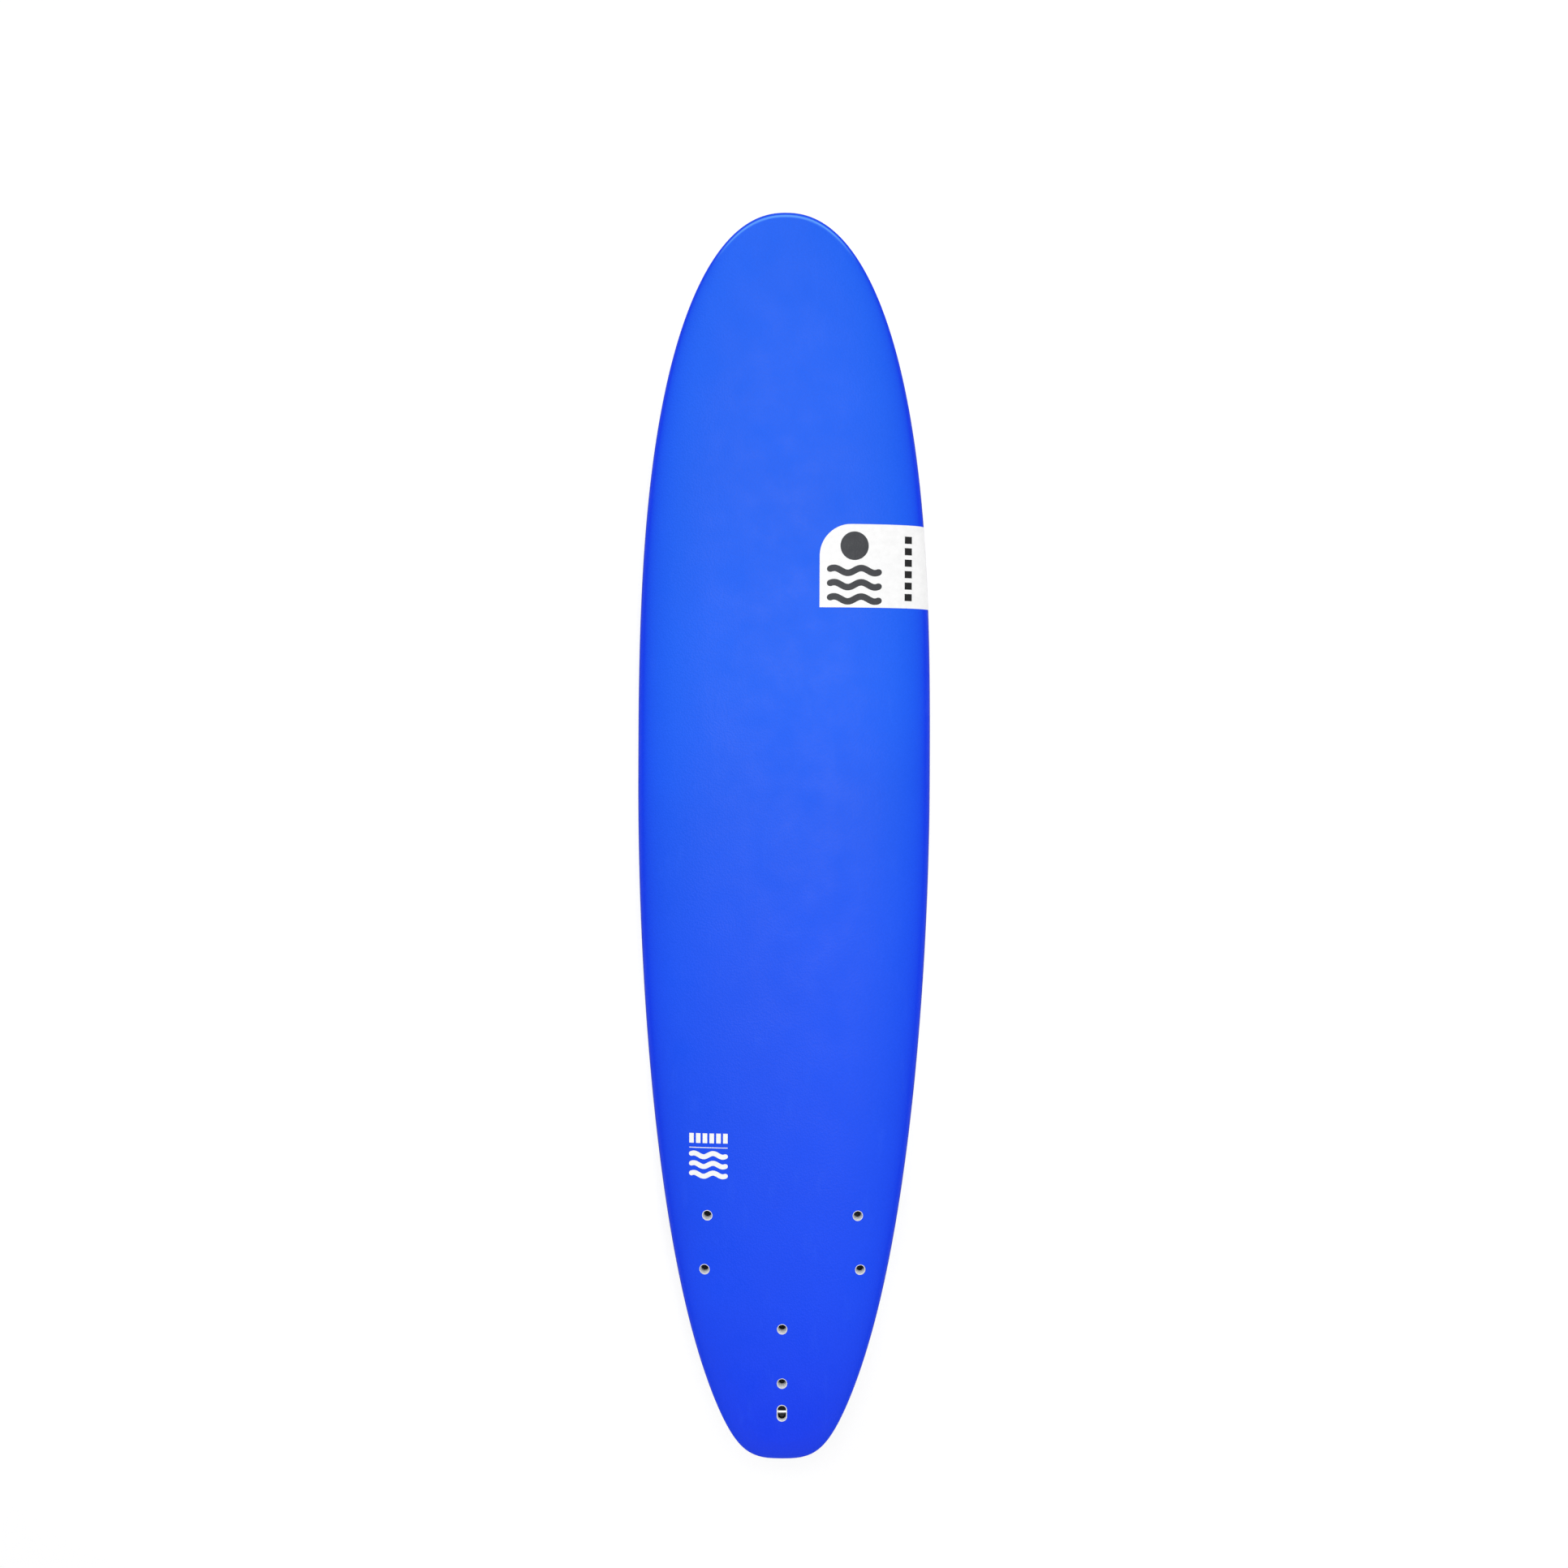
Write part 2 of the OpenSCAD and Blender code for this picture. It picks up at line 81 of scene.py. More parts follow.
# Plugs, bolts and fins, along a plug's axis
RECESS_DEPTH = 20 * MM
RECESS_R = 6.8 * MM
FLOOR_T = 4 * MM
BOLT_HOLE_R = 3.3 * MM
RIM_T = 3 * MM
BARREL_R = 8.6 * MM
BARREL_GAP = 0.15 * MM
FLANGE_R = 12 * MM
FLANGE_T = 1.8 * MM
FIT_GAP = 0.05 * MM
POST_R = 6 * MM
POST_H = 14 * MM
SOCKET_GAP = 0.6 * MM
FIN_GAP = 0.6 * MM
PLATE_T = 4 * MM
PLATE_W = 15 * MM
WASHER_T = 1 * MM
BOLT_R = 2.9 * MM
BOLT_LOW = 2.5 * MM
HEAD_R = 5.4 * MM
HEAD_H = 3.6 * MM
SOCKET_R = 2.3 * MM
SOCKET_DEPTH = 2.2 * MM
SLOT_W = 15 * MM
SLOT_L = 27 * MM
CUP_DEPTH = 20 * MM
CUP_WALL = 2 * MM
BAR_AHEAD = 1.5 * MM
# the black lining of the leash cup is painted shade
SHADE_LINER_T = 0.6 * MM
SHADE_LINER_IN = 0.2 * MM
SHADE_LINER_TOP = 9 * MM
HOLE_REACH = 60 * MM


def settings():
    return bpy.context.scene.surfboard_sizes


def colours():
    return bpy.context.scene.surfboard_colours


class Shape:
    """The board's surface in board space: X across, Y from the tail end, Z up from the lowest point."""

    def __init__(self):
        s = settings()
        self.length = s.length
        self.half = s.width / 2
        self.thick = s.thickness
        self.nose_t = s.nose_thickness
        self.tail_t = s.tail_thickness
        self.nose_rocker = s.nose_rocker
        self.tail_rocker = s.tail_rocker
        self.rail_at = s.rail_height
        self.wide_y = s.wide_at * s.length
        self.thick_y = s.thick_at * s.length
        self.low_y = s.low_at * s.length

    def outline(self, t):
        """Point of the half outline: t is 0 at the tail end, 0.5 at the greatest width, 1 at the nose."""
        if t <= 0.5:
            a = pi / 2 * (1 - 2 * t)
            u = sin(a) ** (2 / TAIL_FULL)
            power = 2 * (TAIL_ROUND - TAIL_SQUASH * u**TAIL_SQUARE)
            return Vector((self.half * max(cos(a), 0) ** power, self.wide_y * (1 - u)))
        a = pi / 2 * (2 * t - 1)
        u = sin(a) ** (2 / NOSE_FULL)
        across = self.half * max(cos(a), 0) ** (2 / NOSE_ROUND)
        return Vector((across, self.wide_y + (self.length - self.wide_y) * u))

    def normal(self, t):
        if t <= 0 or t >= 1:
            return Vector((0, -1 if t <= 0 else 1))
        step = min(0.002, t, 1 - t)
        along = self.outline(t + step) - self.outline(t - step)
        return Vector((along.y, -along.x)).normalized()

    def half_width(self, y):
        if y < self.wide_y:
            u = (self.wide_y - y) / self.wide_y
            power = TAIL_ROUND - TAIL_SQUASH * u**TAIL_SQUARE
            return self.half * max(1 - u**TAIL_FULL, 0) ** power
        u = (y - self.wide_y) / (self.length - self.wide_y)
        return self.half * max(1 - u**NOSE_FULL, 0) ** (1 / NOSE_ROUND)

    def share(self, y, start):
        """How far y is from start to the end of the board on its side, from 0 to 1."""
        return (y - start) / (self.length - start) if y > start else (start - y) / start

    def bottom_z(self, y):
        s = self.share(y, self.low_y)
        if y > self.low_y:
            return self.nose_rocker * s**NOSE_LIFT
        return self.tail_rocker * s**TAIL_LIFT

    def thickness(self, y):
        s = self.share(y, self.thick_y)
        if y > self.thick_y:
            return self.thick - (self.thick - self.nose_t) * s**NOSE_THINNING
        return self.thick - (self.thick - self.tail_t) * s**TAIL_THINNING

    def rail_z(self, y):
        return self.bottom_z(y) + self.rail_at * self.thickness(y)

    def deck_z(self, x, y):
        f = abs(x) / self.half_width(y)
        rise = (1 - self.rail_at) * self.thickness(y)
        return self.rail_z(y) + rise * sqrt(max(1 - f**DECK_FULL, 0))

    def belly_z(self, x, y):
        f = abs(x) / self.half_width(y)
        roll = max(1 - f**BOTTOM_FULL, 0) ** (1 / BOTTOM_ROUND)
        return self.rail_z(y) - self.rail_at * self.thickness(y) * roll

    def bottom_slope(self, y):
        return (self.bottom_z(y + STEP) - self.bottom_z(y - STEP)) / (2 * STEP)

    def on_belly(self, point):
        return Vector((point.x, point.y, self.belly_z(point.x, point.y)))

    def spine(self, y):
        """Where on the centre line the spoke to an edge point at y starts."""
        return SPINE_TAIL + (self.length - SPINE_TAIL - SPINE_NOSE) * y / self.length

    def ring(self, a, t, side, layer=(0, 0, 0)):
        """Point at angle a round the section, from the deck's centre line (0) over the rail (pi / 2)
        to the belly (pi), on the spoke to outline(t). layer is inset, drop and lift of that surface."""
        inset, drop, lift = layer
        edge = self.outline(t)
        spine = self.spine(edge.y)
        edge = edge - inset * self.normal(t)
        upper = a <= pi / 2
        f = max(sin(a), 0) ** (2 / (DECK_FULL if upper else BOTTOM_FULL))
        y = spine + f * (edge.y - spine)
        thickness = self.thickness(y)
        if upper:
            z = self.rail_z(y) + ((1 - self.rail_at) * thickness - drop) * cos(a)
        else:
            roll = max(-cos(a), 0) ** (2 / BOTTOM_ROUND)
            z = self.rail_z(y) - (self.rail_at * thickness - lift) * roll
        return Vector((side * f * edge.x, y, z))

    def slope(self, z_of, x, y):
        """Slopes of a surface across and along the board, as rise over run."""
        across = (z_of(x + STEP, y) - z_of(x - STEP, y)) / (2 * STEP)
        along = (z_of(x, y + STEP) - z_of(x, y - STEP)) / (2 * STEP)
        return across, along

    def deck_normal(self, x, y):
        across, along = self.slope(self.deck_z, x, y)
        return Vector((-across, -along, 1)).normalized()

    def belly_normal(self, x, y):
        across, along = self.slope(self.belly_z, x, y)
        return Vector((across, along, -1)).normalized()


class Lie:
    """How the board lies in the frame: pitched nose down on its fins and belly, middle at the origin."""

    def __init__(self):
        turn, rise = joint("bolt_centre_rear_turn"), joint("bolt_centre_rear_rise")
        shape = self.shape = Shape()
        self.pitch = atan2(rise["axis"][1], rise["axis"][2])
        s, c = sin(self.pitch), cos(self.pitch)
        ends = shape.rail_z(0) * s, shape.length * c + shape.rail_z(shape.length) * s
        shift_y = -sum(ends) / 2
        # the floor of the rearmost plug's recess is known in both spaces
        at = Vector(turn["pos_m"])
        y = z = 0
        for _ in range(8):
            z = shape.deck_z(0, y) - RECESS_DEPTH if y else 0
            y = (at.y - shift_y - z * s) / c
        shift = Vector((0, shift_y, at.z - (z * c - y * s)))
        self.matrix = Matrix.Translation(shift) @ Matrix.Rotation(-self.pitch, 4, "X")
        self.inverse = self.matrix.inverted()

    def at(self, place):
        """Carries a thing made at the origin to a place in board space."""
        return self.matrix @ Matrix.Translation(place)

    def plug(self, name):
        """Floor of a plug's recess, in board space."""
        return self.inverse @ Vector(joint(f"bolt_{name}_turn")["pos_m"])

    def leash(self):
        """Middle of the leash bar in board space, and the bar's radius."""
        low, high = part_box("leash_plug_bar")
        return self.inverse @ ((low + high) / 2), (high.z - low.z) / 2


def joint(name):
    return next(j for j in frame["joints"] if j["name"] == name)


# ---- Meshes ----
MERGE = 1e-7


def woven(columns, rows, place):
    """A grid whose every vertex goes to place(column, row), with meeting edges and poles merged."""
    bm = bmesh.new()
    bmesh.ops.create_grid(bm, x_segments=columns, y_segments=rows, size=1)
    for v in bm.verts:
        v.co = place(round((v.co.x + 1) / 2 * columns), round((v.co.y + 1) / 2 * rows))
    bmesh.ops.remove_doubles(bm, verts=bm.verts, dist=MERGE)
    bmesh.ops.dissolve_degenerate(bm, edges=bm.edges, dist=MERGE)
    bmesh.ops.recalc_face_normals(bm, faces=bm.faces)
    return bm


def eased(corners, steps=4):
    """A profile of (offset, height) points with each corner that has a radius rounded."""
    points = [Vector(corner[:2]) for corner in corners]
    out = []
    for n, corner in enumerate(corners):
        radius = corner[2] if len(corner) > 2 else 0
        if not radius or n in (0, len(corners) - 1):
            out.append(points[n])
            continue
        back = (points[n - 1] - points[n]).normalized()
        on = (points[n + 1] - points[n]).normalized()
        half = back.angle(on) / 2
        reach = radius / tan(half)
        centre = points[n] + (back + on).normalized() * radius / sin(half)
        start = points[n] + back * reach - centre
        turn = start.angle_signed(points[n] + on * reach - centre)
        for k in range(steps + 1):
            out.append(centre + Matrix.Rotation(-turn * k / steps, 2) @ start)
    return out


def stadium(width, length, k, count, offset):
    """Point k of count round a slot's outline, moved outward by offset."""
    per_end = count // 2
    k %= count
    far = k >= per_end
    a = pi * ((k - per_end) / (per_end - 1) + 1 if far else k / (per_end - 1))
    middle = (length - width) / 2 * (-1 if far else 1)
    r = max(width / 2 + offset, 0)
    return Vector((r * cos(a), middle + r * sin(a)))


def lathe(profile, segments, shear=None):
    """Turns a profile of (radius, height) round Z; shear(x, y, z) is added to each height."""

    def place(column, row):
        r, z = profile[row]
        a = 2 * pi * (column % segments) / segments
        x, y = r * cos(a), r * sin(a)
        return Vector((x, y, z + (shear(x, y, z) if shear else 0)))

    return woven(segments, len(profile) - 1, place)


def slotted(profile, width, length, count, shear=None):
    """Carries a profile of (offset, height) round a slot's outline."""

    def place(column, row):
        offset, z = profile[row]
        x, y = stadium(width, length, column, count, offset)
        return Vector((x, y, z + (shear(x, y, z) if shear else 0)))

    return woven(count, len(profile) - 1, place)


def piece(name, bm, material, matrix=None, sharp=35):
    """A finished object at the origin from a bmesh, smooth but for edges sharper than the angle."""
    if matrix is not None:
        bmesh.ops.transform(bm, matrix=matrix, verts=bm.verts)
    mesh = bpy.data.meshes.new(name)
    bm.to_mesh(mesh)
    bm.free()
    obj = bpy.data.objects.new(name, mesh)
    bpy.context.scene.collection.objects.link(obj)
    mesh.materials.append(material)
    mesh.shade_smooth()
    mesh.set_sharp_from_angle(angle=radians(sharp))
    return obj


def combine(obj, others, operation, sharp=35):
    """Joins other pieces to obj, or cuts them out of it, and removes them."""
    for other in others:
        cut = obj.modifiers.new(operation.title(), "BOOLEAN")
        cut.operation = operation
        cut.solver = "EXACT"
        cut.object = other
    bpy.context.view_layer.update()
    made = bpy.data.meshes.new_from_object(obj.evaluated_get(bpy.context.evaluated_depsgraph_get()))
    obj.modifiers.clear()
    old, obj.data = obj.data, made
    bpy.data.meshes.remove(old)
    obj.data.name = obj.name
    obj.data.set_sharp_from_angle(angle=radians(sharp))
    for other in others:
        mesh = other.data
        bpy.data.objects.remove(other)
        bpy.data.meshes.remove(mesh)
    return obj


def smooth_round(obj, lie, holes, normal_of):
    """Gives the faces round each hole the normals of the whole surface, so that the cut doesn't show."""
    mesh = obj.data
    normals = [corner.vector.copy() for corner in mesh.corner_normals]
    turn = lie.matrix.to_3x3()
    for face in mesh.polygons:
        for corner in face.loop_indices:
            at = lie.inverse @ mesh.vertices[mesh.loops[corner].vertex_index].co
            if min((at - hole).to_2d().length for hole in holes) > HOLE_REACH:
                continue
            normal = turn @ normal_of(at.x, at.y)
            if face.normal.dot(normal) > 0.9:
                normals[corner] = normal
    mesh.normals_split_custom_set(normals)


def belongs(obj, body, slot, *nodes):
    """Attaches a piece to the body it rides on and hides the frame nodes it stands for; slot, the finish it
    would take, is not used.
    """
    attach(obj, body)
    if nodes:
        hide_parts(*nodes)
    return obj


# ---- Materials ----
def linear(hex_colour):
    """An sRGB hex value as linear RGBA."""
    values = [int(hex_colour[n : n + 2], 16) / 255 for n in (1, 3, 5)]
    return [v / 12.92 if v <= 0.04045 else ((v + 0.055) / 1.055) ** 2.4 for v in values] + [1.0]


def dimmed(colour, factor, lift=0.0):
    """A linear colour with its light multiplied by factor and raised by lift."""
    return [c * factor + lift for c in colour[:3]] + [1.0]


class Nodes:
    """A node tree that is being built. Every input takes a socket or a value."""

    def __init__(self, tree):
        self.tree = tree
        tree.nodes.clear()

    def feed(self, socket, value):
        if isinstance(value, bpy.types.NodeSocket):
            self.tree.links.new(value, socket)
        else:
            socket.default_value = value

    def add(self, kind, inputs=None, **options):
        """Adds a node with its own options and with what goes into its inputs."""
        node = self.tree.nodes.new(kind)
        for key, value in options.items():
            setattr(node, key, value)
        for key, value in (inputs or {}).items():
            self.feed(node.inputs[key], value)
        return node

    def remap(self, value, low, high, to_low, to_high):
        inputs = {"Value": value, "From Min": low, "From Max": high, "To Min": to_low, "To Max": to_high}
        return self.add("ShaderNodeMapRange", inputs).outputs["Result"]

    def blend(self, share, first, second):
        """Mixes two colours, each a socket or a linear colour."""
        return self.add("ShaderNodeMix", {0: share, 6: first, 7: second}, data_type="RGBA").outputs[2]

    def tone(self, value, low, high, first, second, most=1.0):
        """Mixes two colours by how far the value has come from low to high."""
        return self.blend(self.remap(value, low, high, 0.0, most), first, second)

    def ramp(self, value, stops):
        """Colours at their places from 0 to 1, and even changes between them."""
        node = self.add("ShaderNodeValToRGB", {"Fac": value})
        elements = node.color_ramp.elements
        while len(elements) < len(stops):
            elements.new(0.5)
        for element, (at, colour) in zip(elements, stops):
            element.position = at
            element.color = colour
        return node.outputs["Color"]


class Material(Nodes):
    """A new material: a Principled shader, with values for its inputs, and Object coordinates."""

    def __init__(self, name, **values):
        self.made = bpy.data.materials.new(name)
        self.made.use_nodes = True
        super().__init__(self.made.node_tree)
        self.surface = self.add("ShaderNodeBsdfPrincipled")
        self.add("ShaderNodeOutputMaterial", {"Surface": self.surface.outputs["BSDF"]})
        self.place = self.add("ShaderNodeTexCoord").outputs["Object"]
        self.paint(**values)

    def paint(self, **values):
        for key, value in values.items():
            self.feed(self.surface.inputs[key.replace("_", " ")], value)

    def roughen(self, value, low, high, to_low, to_high):
        self.paint(Roughness=self.remap(value, low, high, to_low, to_high))

    def speckle(self, size, detail=2.0, rough=0.5, stretch=(1, 1, 1)):
        """Noise whose grains are about size metres across."""
        mapped = self.add("ShaderNodeMapping", {"Vector": self.place, "Scale": stretch}).outputs["Vector"]
        inputs = {"Vector": mapped, "Scale": 1 / size, "Detail": detail, "Roughness": rough}
        return self.add("ShaderNodeTexNoise", inputs).outputs["Fac"]

    def cells(self, size):
        """Distance from the middles of cells that are about size metres across."""
        inputs = {"Vector": self.place, "Scale": 1 / size}
        return self.add("ShaderNodeTexVoronoi", inputs).outputs["Distance"]

    def stored(self, name):
        return self.add("ShaderNodeAttribute", attribute_name=name).outputs["Fac"]

    def multiply(self, first, second):
        return self.add("ShaderNodeMath", {0: first, 1: second}, operation="MULTIPLY").outputs[0]

    def emboss(self, height, depth):
        """Lays a height map, with its depth in metres, on the surface's normal."""
        bump = self.add("ShaderNodeBump", {"Height": height, "Distance": depth, "Strength": 1.0})
        self.paint(Normal=bump.outputs["Normal"])


# pebbles of the embossing roll are 1.2 mm; drawn at 3.5 mm so that they show from standing height
PEBBLE = 3.5 * MM


def foam_deck():
    """Closed-cell polyethylene foam with an embossed skin: satin, finely pebbled, slightly cloudy. Its colour
    holds painted shade towards the tail and over the rails, and a painted highlight along the nose lip.
    """
    m = Material("embossed_polyethylene_foam", IOR=1.5)
    base = colours().deck
    # painted shade: the deck darkens towards the tail, away from the light over the nose; green and blue keep
    # these shares of the deck's
    tail_shading = [(0, 0.33, 0.95), (0.13, 0.54, 1), (0.41, 0.72, 0.98), (0.63, 0.97, 1), (1, 1, 1)]
    stops = [(at, (base[0], base[1] * green, base[2] * blue, 1)) for at, green, blue in tail_shading]
    along = m.add("ShaderNodeSeparateXYZ", {0: m.place}).outputs["Y"]
    reach = settings().length / 2
    tail_shaded = m.ramp(m.remap(along, -reach, reach, 0, 1), stops)
    # painted shade: the deck is deeper in colour where it tilts away over the rails
    tilt = m.stored("tilt")
    rail_shaded = m.tone(tilt, 0.985, 0.8, tail_shaded, linear("#003cf0"))
    cloud = m.remap(m.speckle(300 * MM, 2.0, 0.45), 0.35, 0.65, 0.06, 0.0)
    cloudy = m.blend(cloud, rail_shaded, linear("#000a80"))
    grain = m.remap(m.cells(PEBBLE), 0.0, 0.8, 1.0, 0.0)
    mottled = m.blend(m.remap(grain, 0.0, 1.0, 0.07, 0.0), cloudy, linear("#021c8c"))
    # painted highlight: the deck is paler along the heat-sealed lip round the nose
    lip_highlighted = m.blend(m.stored("lip"), mottled, colours().lip)
    # painted shade: the steep sides of the rails go navy
    rail_side_shaded = m.tone(tilt, 0.65, 0.15, lip_highlighted, linear("#0a2a90"), 0.9)
    # feet, wax and sand leave faint matt scuffs along the middle
    scuff = m.speckle(25 * MM, 4.0, 0.65, (1, 0.25, 1))
    m.paint(Base_Color=m.tone(scuff, 0.58, 0.8, rail_side_shaded, linear("#3c72f6"), 0.1))
    m.roughen(m.speckle(60 * MM), 0.3, 0.7, 0.42, 0.54)
    m.paint(Specular_IOR_Level=m.remap(tilt, 0.98, 0.8, 0.26, 0.12))
    m.emboss(m.multiply(grain, m.speckle(1.2 * MM)), settings().emboss_depth)
    return m.made


def slick_sheet():
    """Extruded high-density polyethylene sheet: glossy white with faint draw lines and sand scuffs."""
    m = Material("extruded_polyethylene_sheet", IOR=1.54)
    base = colours().bottom
    tone = m.tone(m.speckle(220 * MM), 0.35, 0.65, dimmed(base, 0.96), base)
    scratch = m.speckle(6 * MM, 5.0, 0.7, (1, 0.06, 1))
    m.paint(Base_Color=m.tone(scratch, 0.62, 0.8, tone, linear("#b9bdc1"), 0.35))
    m.roughen(scratch, 0.35, 0.75, 0.22, 0.42)
    # draw lines run the length of the sheet, 4 mm apart
    m.emboss(m.speckle(4 * MM, 1.0, 0.5, (1, 0.01, 1)), 0.06 * MM)
    return m.made


def moulded_plastic(name, colour, low_rough, high_rough, mark):
    """Injection-moulded plastic: even colour with a fine spark-eroded texture and slight flow marks."""
    m = Material(name, IOR=1.53)
    flow = m.speckle(9 * MM, 3.0, 0.55, (1, 1, 0.4))
    tone = m.tone(flow, 0.35, 0.65, dimmed(colour, 0.9), colour)
    marked = m.speckle(3 * MM, 5.0, 0.7, (1, 0.3, 1))
    m.paint(Base_Color=m.tone(marked, 0.6, 0.8, tone, linear(mark), 0.3))
    m.roughen(flow, 0.3, 0.7, low_rough, high_rough)
    # spark-eroded texture is 0.15 mm; drawn at 0.4 mm so that it shows close up
    m.emboss(m.speckle(0.4 * MM), 0.03 * MM)
    return m.made


def metal(name, colour, low_rough, high_rough, stretch, tint):
    """Worked metal: fine marks along the way it was drawn or turned."""
    m = Material(name, Metallic=1.0)
    marks = m.speckle(0.5 * MM, 3.0, 0.6, stretch)
    m.paint(Base_Color=m.tone(m.speckle(5 * MM), 0.3, 0.7, linear(colour), linear(tint)))
    m.roughen(marks, 0.3, 0.7, low_rough, high_rough)
    m.emboss(marks, 0.01 * MM)
    return m.made


def rubber():
    """Moulded nitrile rubber: near-black and matt, with a dusty bloom."""
    m = Material("moulded_nitrile_rubber", IOR=1.52)
    bloom = m.speckle(2 * MM, 4.0, 0.6)
    m.paint(Base_Color=m.tone(bloom, 0.4, 0.75, linear("#0b0b0c"), linear("#26272a"), 0.6))
    m.roughen(bloom, 0.3, 0.7, 0.6, 0.8)
    m.emboss(m.speckle(0.3 * MM), 0.02 * MM)
    return m.made


def print_ink(name, colour):
    """Screen-printed ink on foam: thin, nearly even, taking the pebbled surface under it."""
    m = Material(name, IOR=1.5, Specular_IOR_Level=0.3)
    film = m.speckle(12 * MM, 4.0, 0.6)
    tone = m.tone(film, 0.3, 0.7, dimmed(colour, 0.93, 0.004), colour)
    # pinholes where the ink missed the bottom of a pebble
    pin = m.speckle(1.5 * MM, 3.0, 0.6)
    m.paint(Base_Color=m.tone(pin, 0.7, 0.8, tone, linear("#2a55c8"), 0.25))
    m.roughen(film, 0.3, 0.7, 0.42, 0.55)
    m.emboss(m.cells(PEBBLE), settings().emboss_depth / 2)
    return m.made


def bead_foam():
    """Expanded polystyrene bead foam, hot-wire cut: white 4 mm beads with darker joints between them."""
    m = Material("cut_bead_foam", IOR=1.55, Roughness=0.85)
    joints = m.remap(m.cells(4 * MM), 0.2, 0.75, 0.0, 1.0)
    m.paint(Base_Color=m.blend(joints, linear("#f4f4ef"), linear("#d9d9d2")))
    m.emboss(joints, -0.3 * MM)
    return m.made


def sawn_wood():
    """Sawn softwood stringer: pale, with growth rings along the board and saw marks across it."""
    m = Material("sawn_softwood", IOR=1.5)
    grain = m.speckle(3 * MM, 6.0, 0.6, (1, 0.04, 1))
    m.paint(Base_Color=m.tone(grain, 0.35, 0.65, linear("#d8b483"), linear("#a8793f")))
    m.roughen(grain, 0.3, 0.7, 0.5, 0.7)
    m.emboss(m.speckle(2.5 * MM, 1.0, 0.5, (0.1, 1, 0.1)), 0.1 * MM)
    return m.made


def glass_laminate():
    """Plain-weave glass cloth wetted out in epoxy: greenish-clear, glossy, with a faint weave."""
    m = Material("glass_cloth_in_epoxy", IOR=1.55, Coat_Weight=0.3)
    inputs = {"Vector": m.place, "Scale": 1 / (6 * MM)}
    threads = [m.add("ShaderNodeTexWave", inputs, bands_direction=way).outputs["Fac"] for way in "XY"]
    weave = m.multiply(*threads)
    m.paint(Base_Color=m.blend(weave, linear("#dfe6d8"), linear("#c3ccbb")))
    m.roughen(weave, 0.0, 1.0, 0.15, 0.3)
    m.emboss(weave, 0.05 * MM)
    return m.made


def white_plastic():
    """The white plastic of all the plugs, made when it is first asked for."""
    name = "moulded_white_abs"
    made = bpy.data.materials.get(name)
    return made or moulded_plastic(name, colours().plug, 0.28, 0.4, "#c9ccd2")


# ---- Skins ----
SKIN_LAYER = (5 * MM, 5 * MM, 2 * MM)
COLUMNS = 320
ROUND = 64
CUT_SHARP = 40
# places of the deck's rings on their spokes: even across the crown and close at the nose lip
CROWN_SHARES = [0, 0.1, 0.2, 0.3, 0.4, 0.49, 0.57, 0.64, 0.7, 0.755, 0.8, 0.84, 0.87, 0.895, 0.915]
CROWN_SHARES += [0.93, 0.942, 0.95, 0.956, 0.961, 0.966, 0.971, 0.976, 0.981, 0.986, 0.991]
# angles of its rings over the rail, in degrees, down to the seam, and back inside
SEAM = 135.2
RAIL_ANGLES = [83, 85.5, 88, 90, 92, 94, 97, 101, 106, 112, 118, 124, 130, 133.5, SEAM]
DECK_INSIDE = [SEAM, 126, 118, 110, 103, 96, 90, 84, 78, 70, 62, 52, 41, 28, 14, 0]
DECK_EASE = (0.7 * MM, 131)
# the bottom sheet's rings, outside and back inside
SHEET_EDGE = 135.7
SHEET_OUTSIDE = [SHEET_EDGE, 137, 139, 143, 148, 153, 158, 163, 168, 172, 175.5, 178.5, 180]
SHEET_INSIDE = [180, 176, 170, 162, 153, 144, SHEET_EDGE]
SHEET_EASE = (0.5 * MM, 138.5)
LIP_FADE = (95 * MM, 25 * MM)
LIP_REACH = 100 * MM
LIP_SEARCH = 60 * MM
OUTLINE_STEPS = 400


def spoke(column):
    """(t, side) of a column that runs up the right rail to the nose and back down the left one."""
    column %= COLUMNS
    per_side = COLUMNS // 2
    if column <= per_side:
        return column / per_side, 1
    return (COLUMNS - column) / per_side, -1


def smoothstep(low, high, value):
    s = min(max((value - low) / (high - low), 0), 1)
    return s * s * (3 - 2 * s)


def nose_lip(shape, t, f):
    """How much the heat-sealed lip stands up at a share f of the spoke to outline(t), from 0 to 1."""
    s = settings()
    edge = shape.outline(t)
    inside = (1 - f) * hypot(edge.x, edge.y - shape.spine(edge.y))
    near_nose = smoothstep(shape.length - LIP_FADE[0], shape.length - LIP_FADE[1], edge.y)
    return near_nose * max(1 - ((inside - s.lip_inset) / s.lip_width) ** 2, 0) ** 2


def drawn_in(shape, point, a, t, side, ease):
    """A skin's outer point moved by ease towards the inner face."""
    return point - ease * (point - shape.ring(a, t, side, SKIN_LAYER)).normalized() if ease else point


def rod(r, low, high, middle=0):
    """The profile of a straight rod, out from its middle line."""
    return [(middle, low), (r, low), (r, high), (middle, high)]


def cutter(obj, bm, at):
    return piece("cutter", bm, obj.data.materials[0], at)


def plug_cutters(obj, lie, r, low, high, start_of):
    """A rod at each plug, placed from start_of(the floor of its recess)."""
    starts = [start_of(lie.plug(name)) for name in PLUGS]
    return [cutter(obj, lathe(rod(r, low, high), ROUND), lie.at(start)) for start in starts]


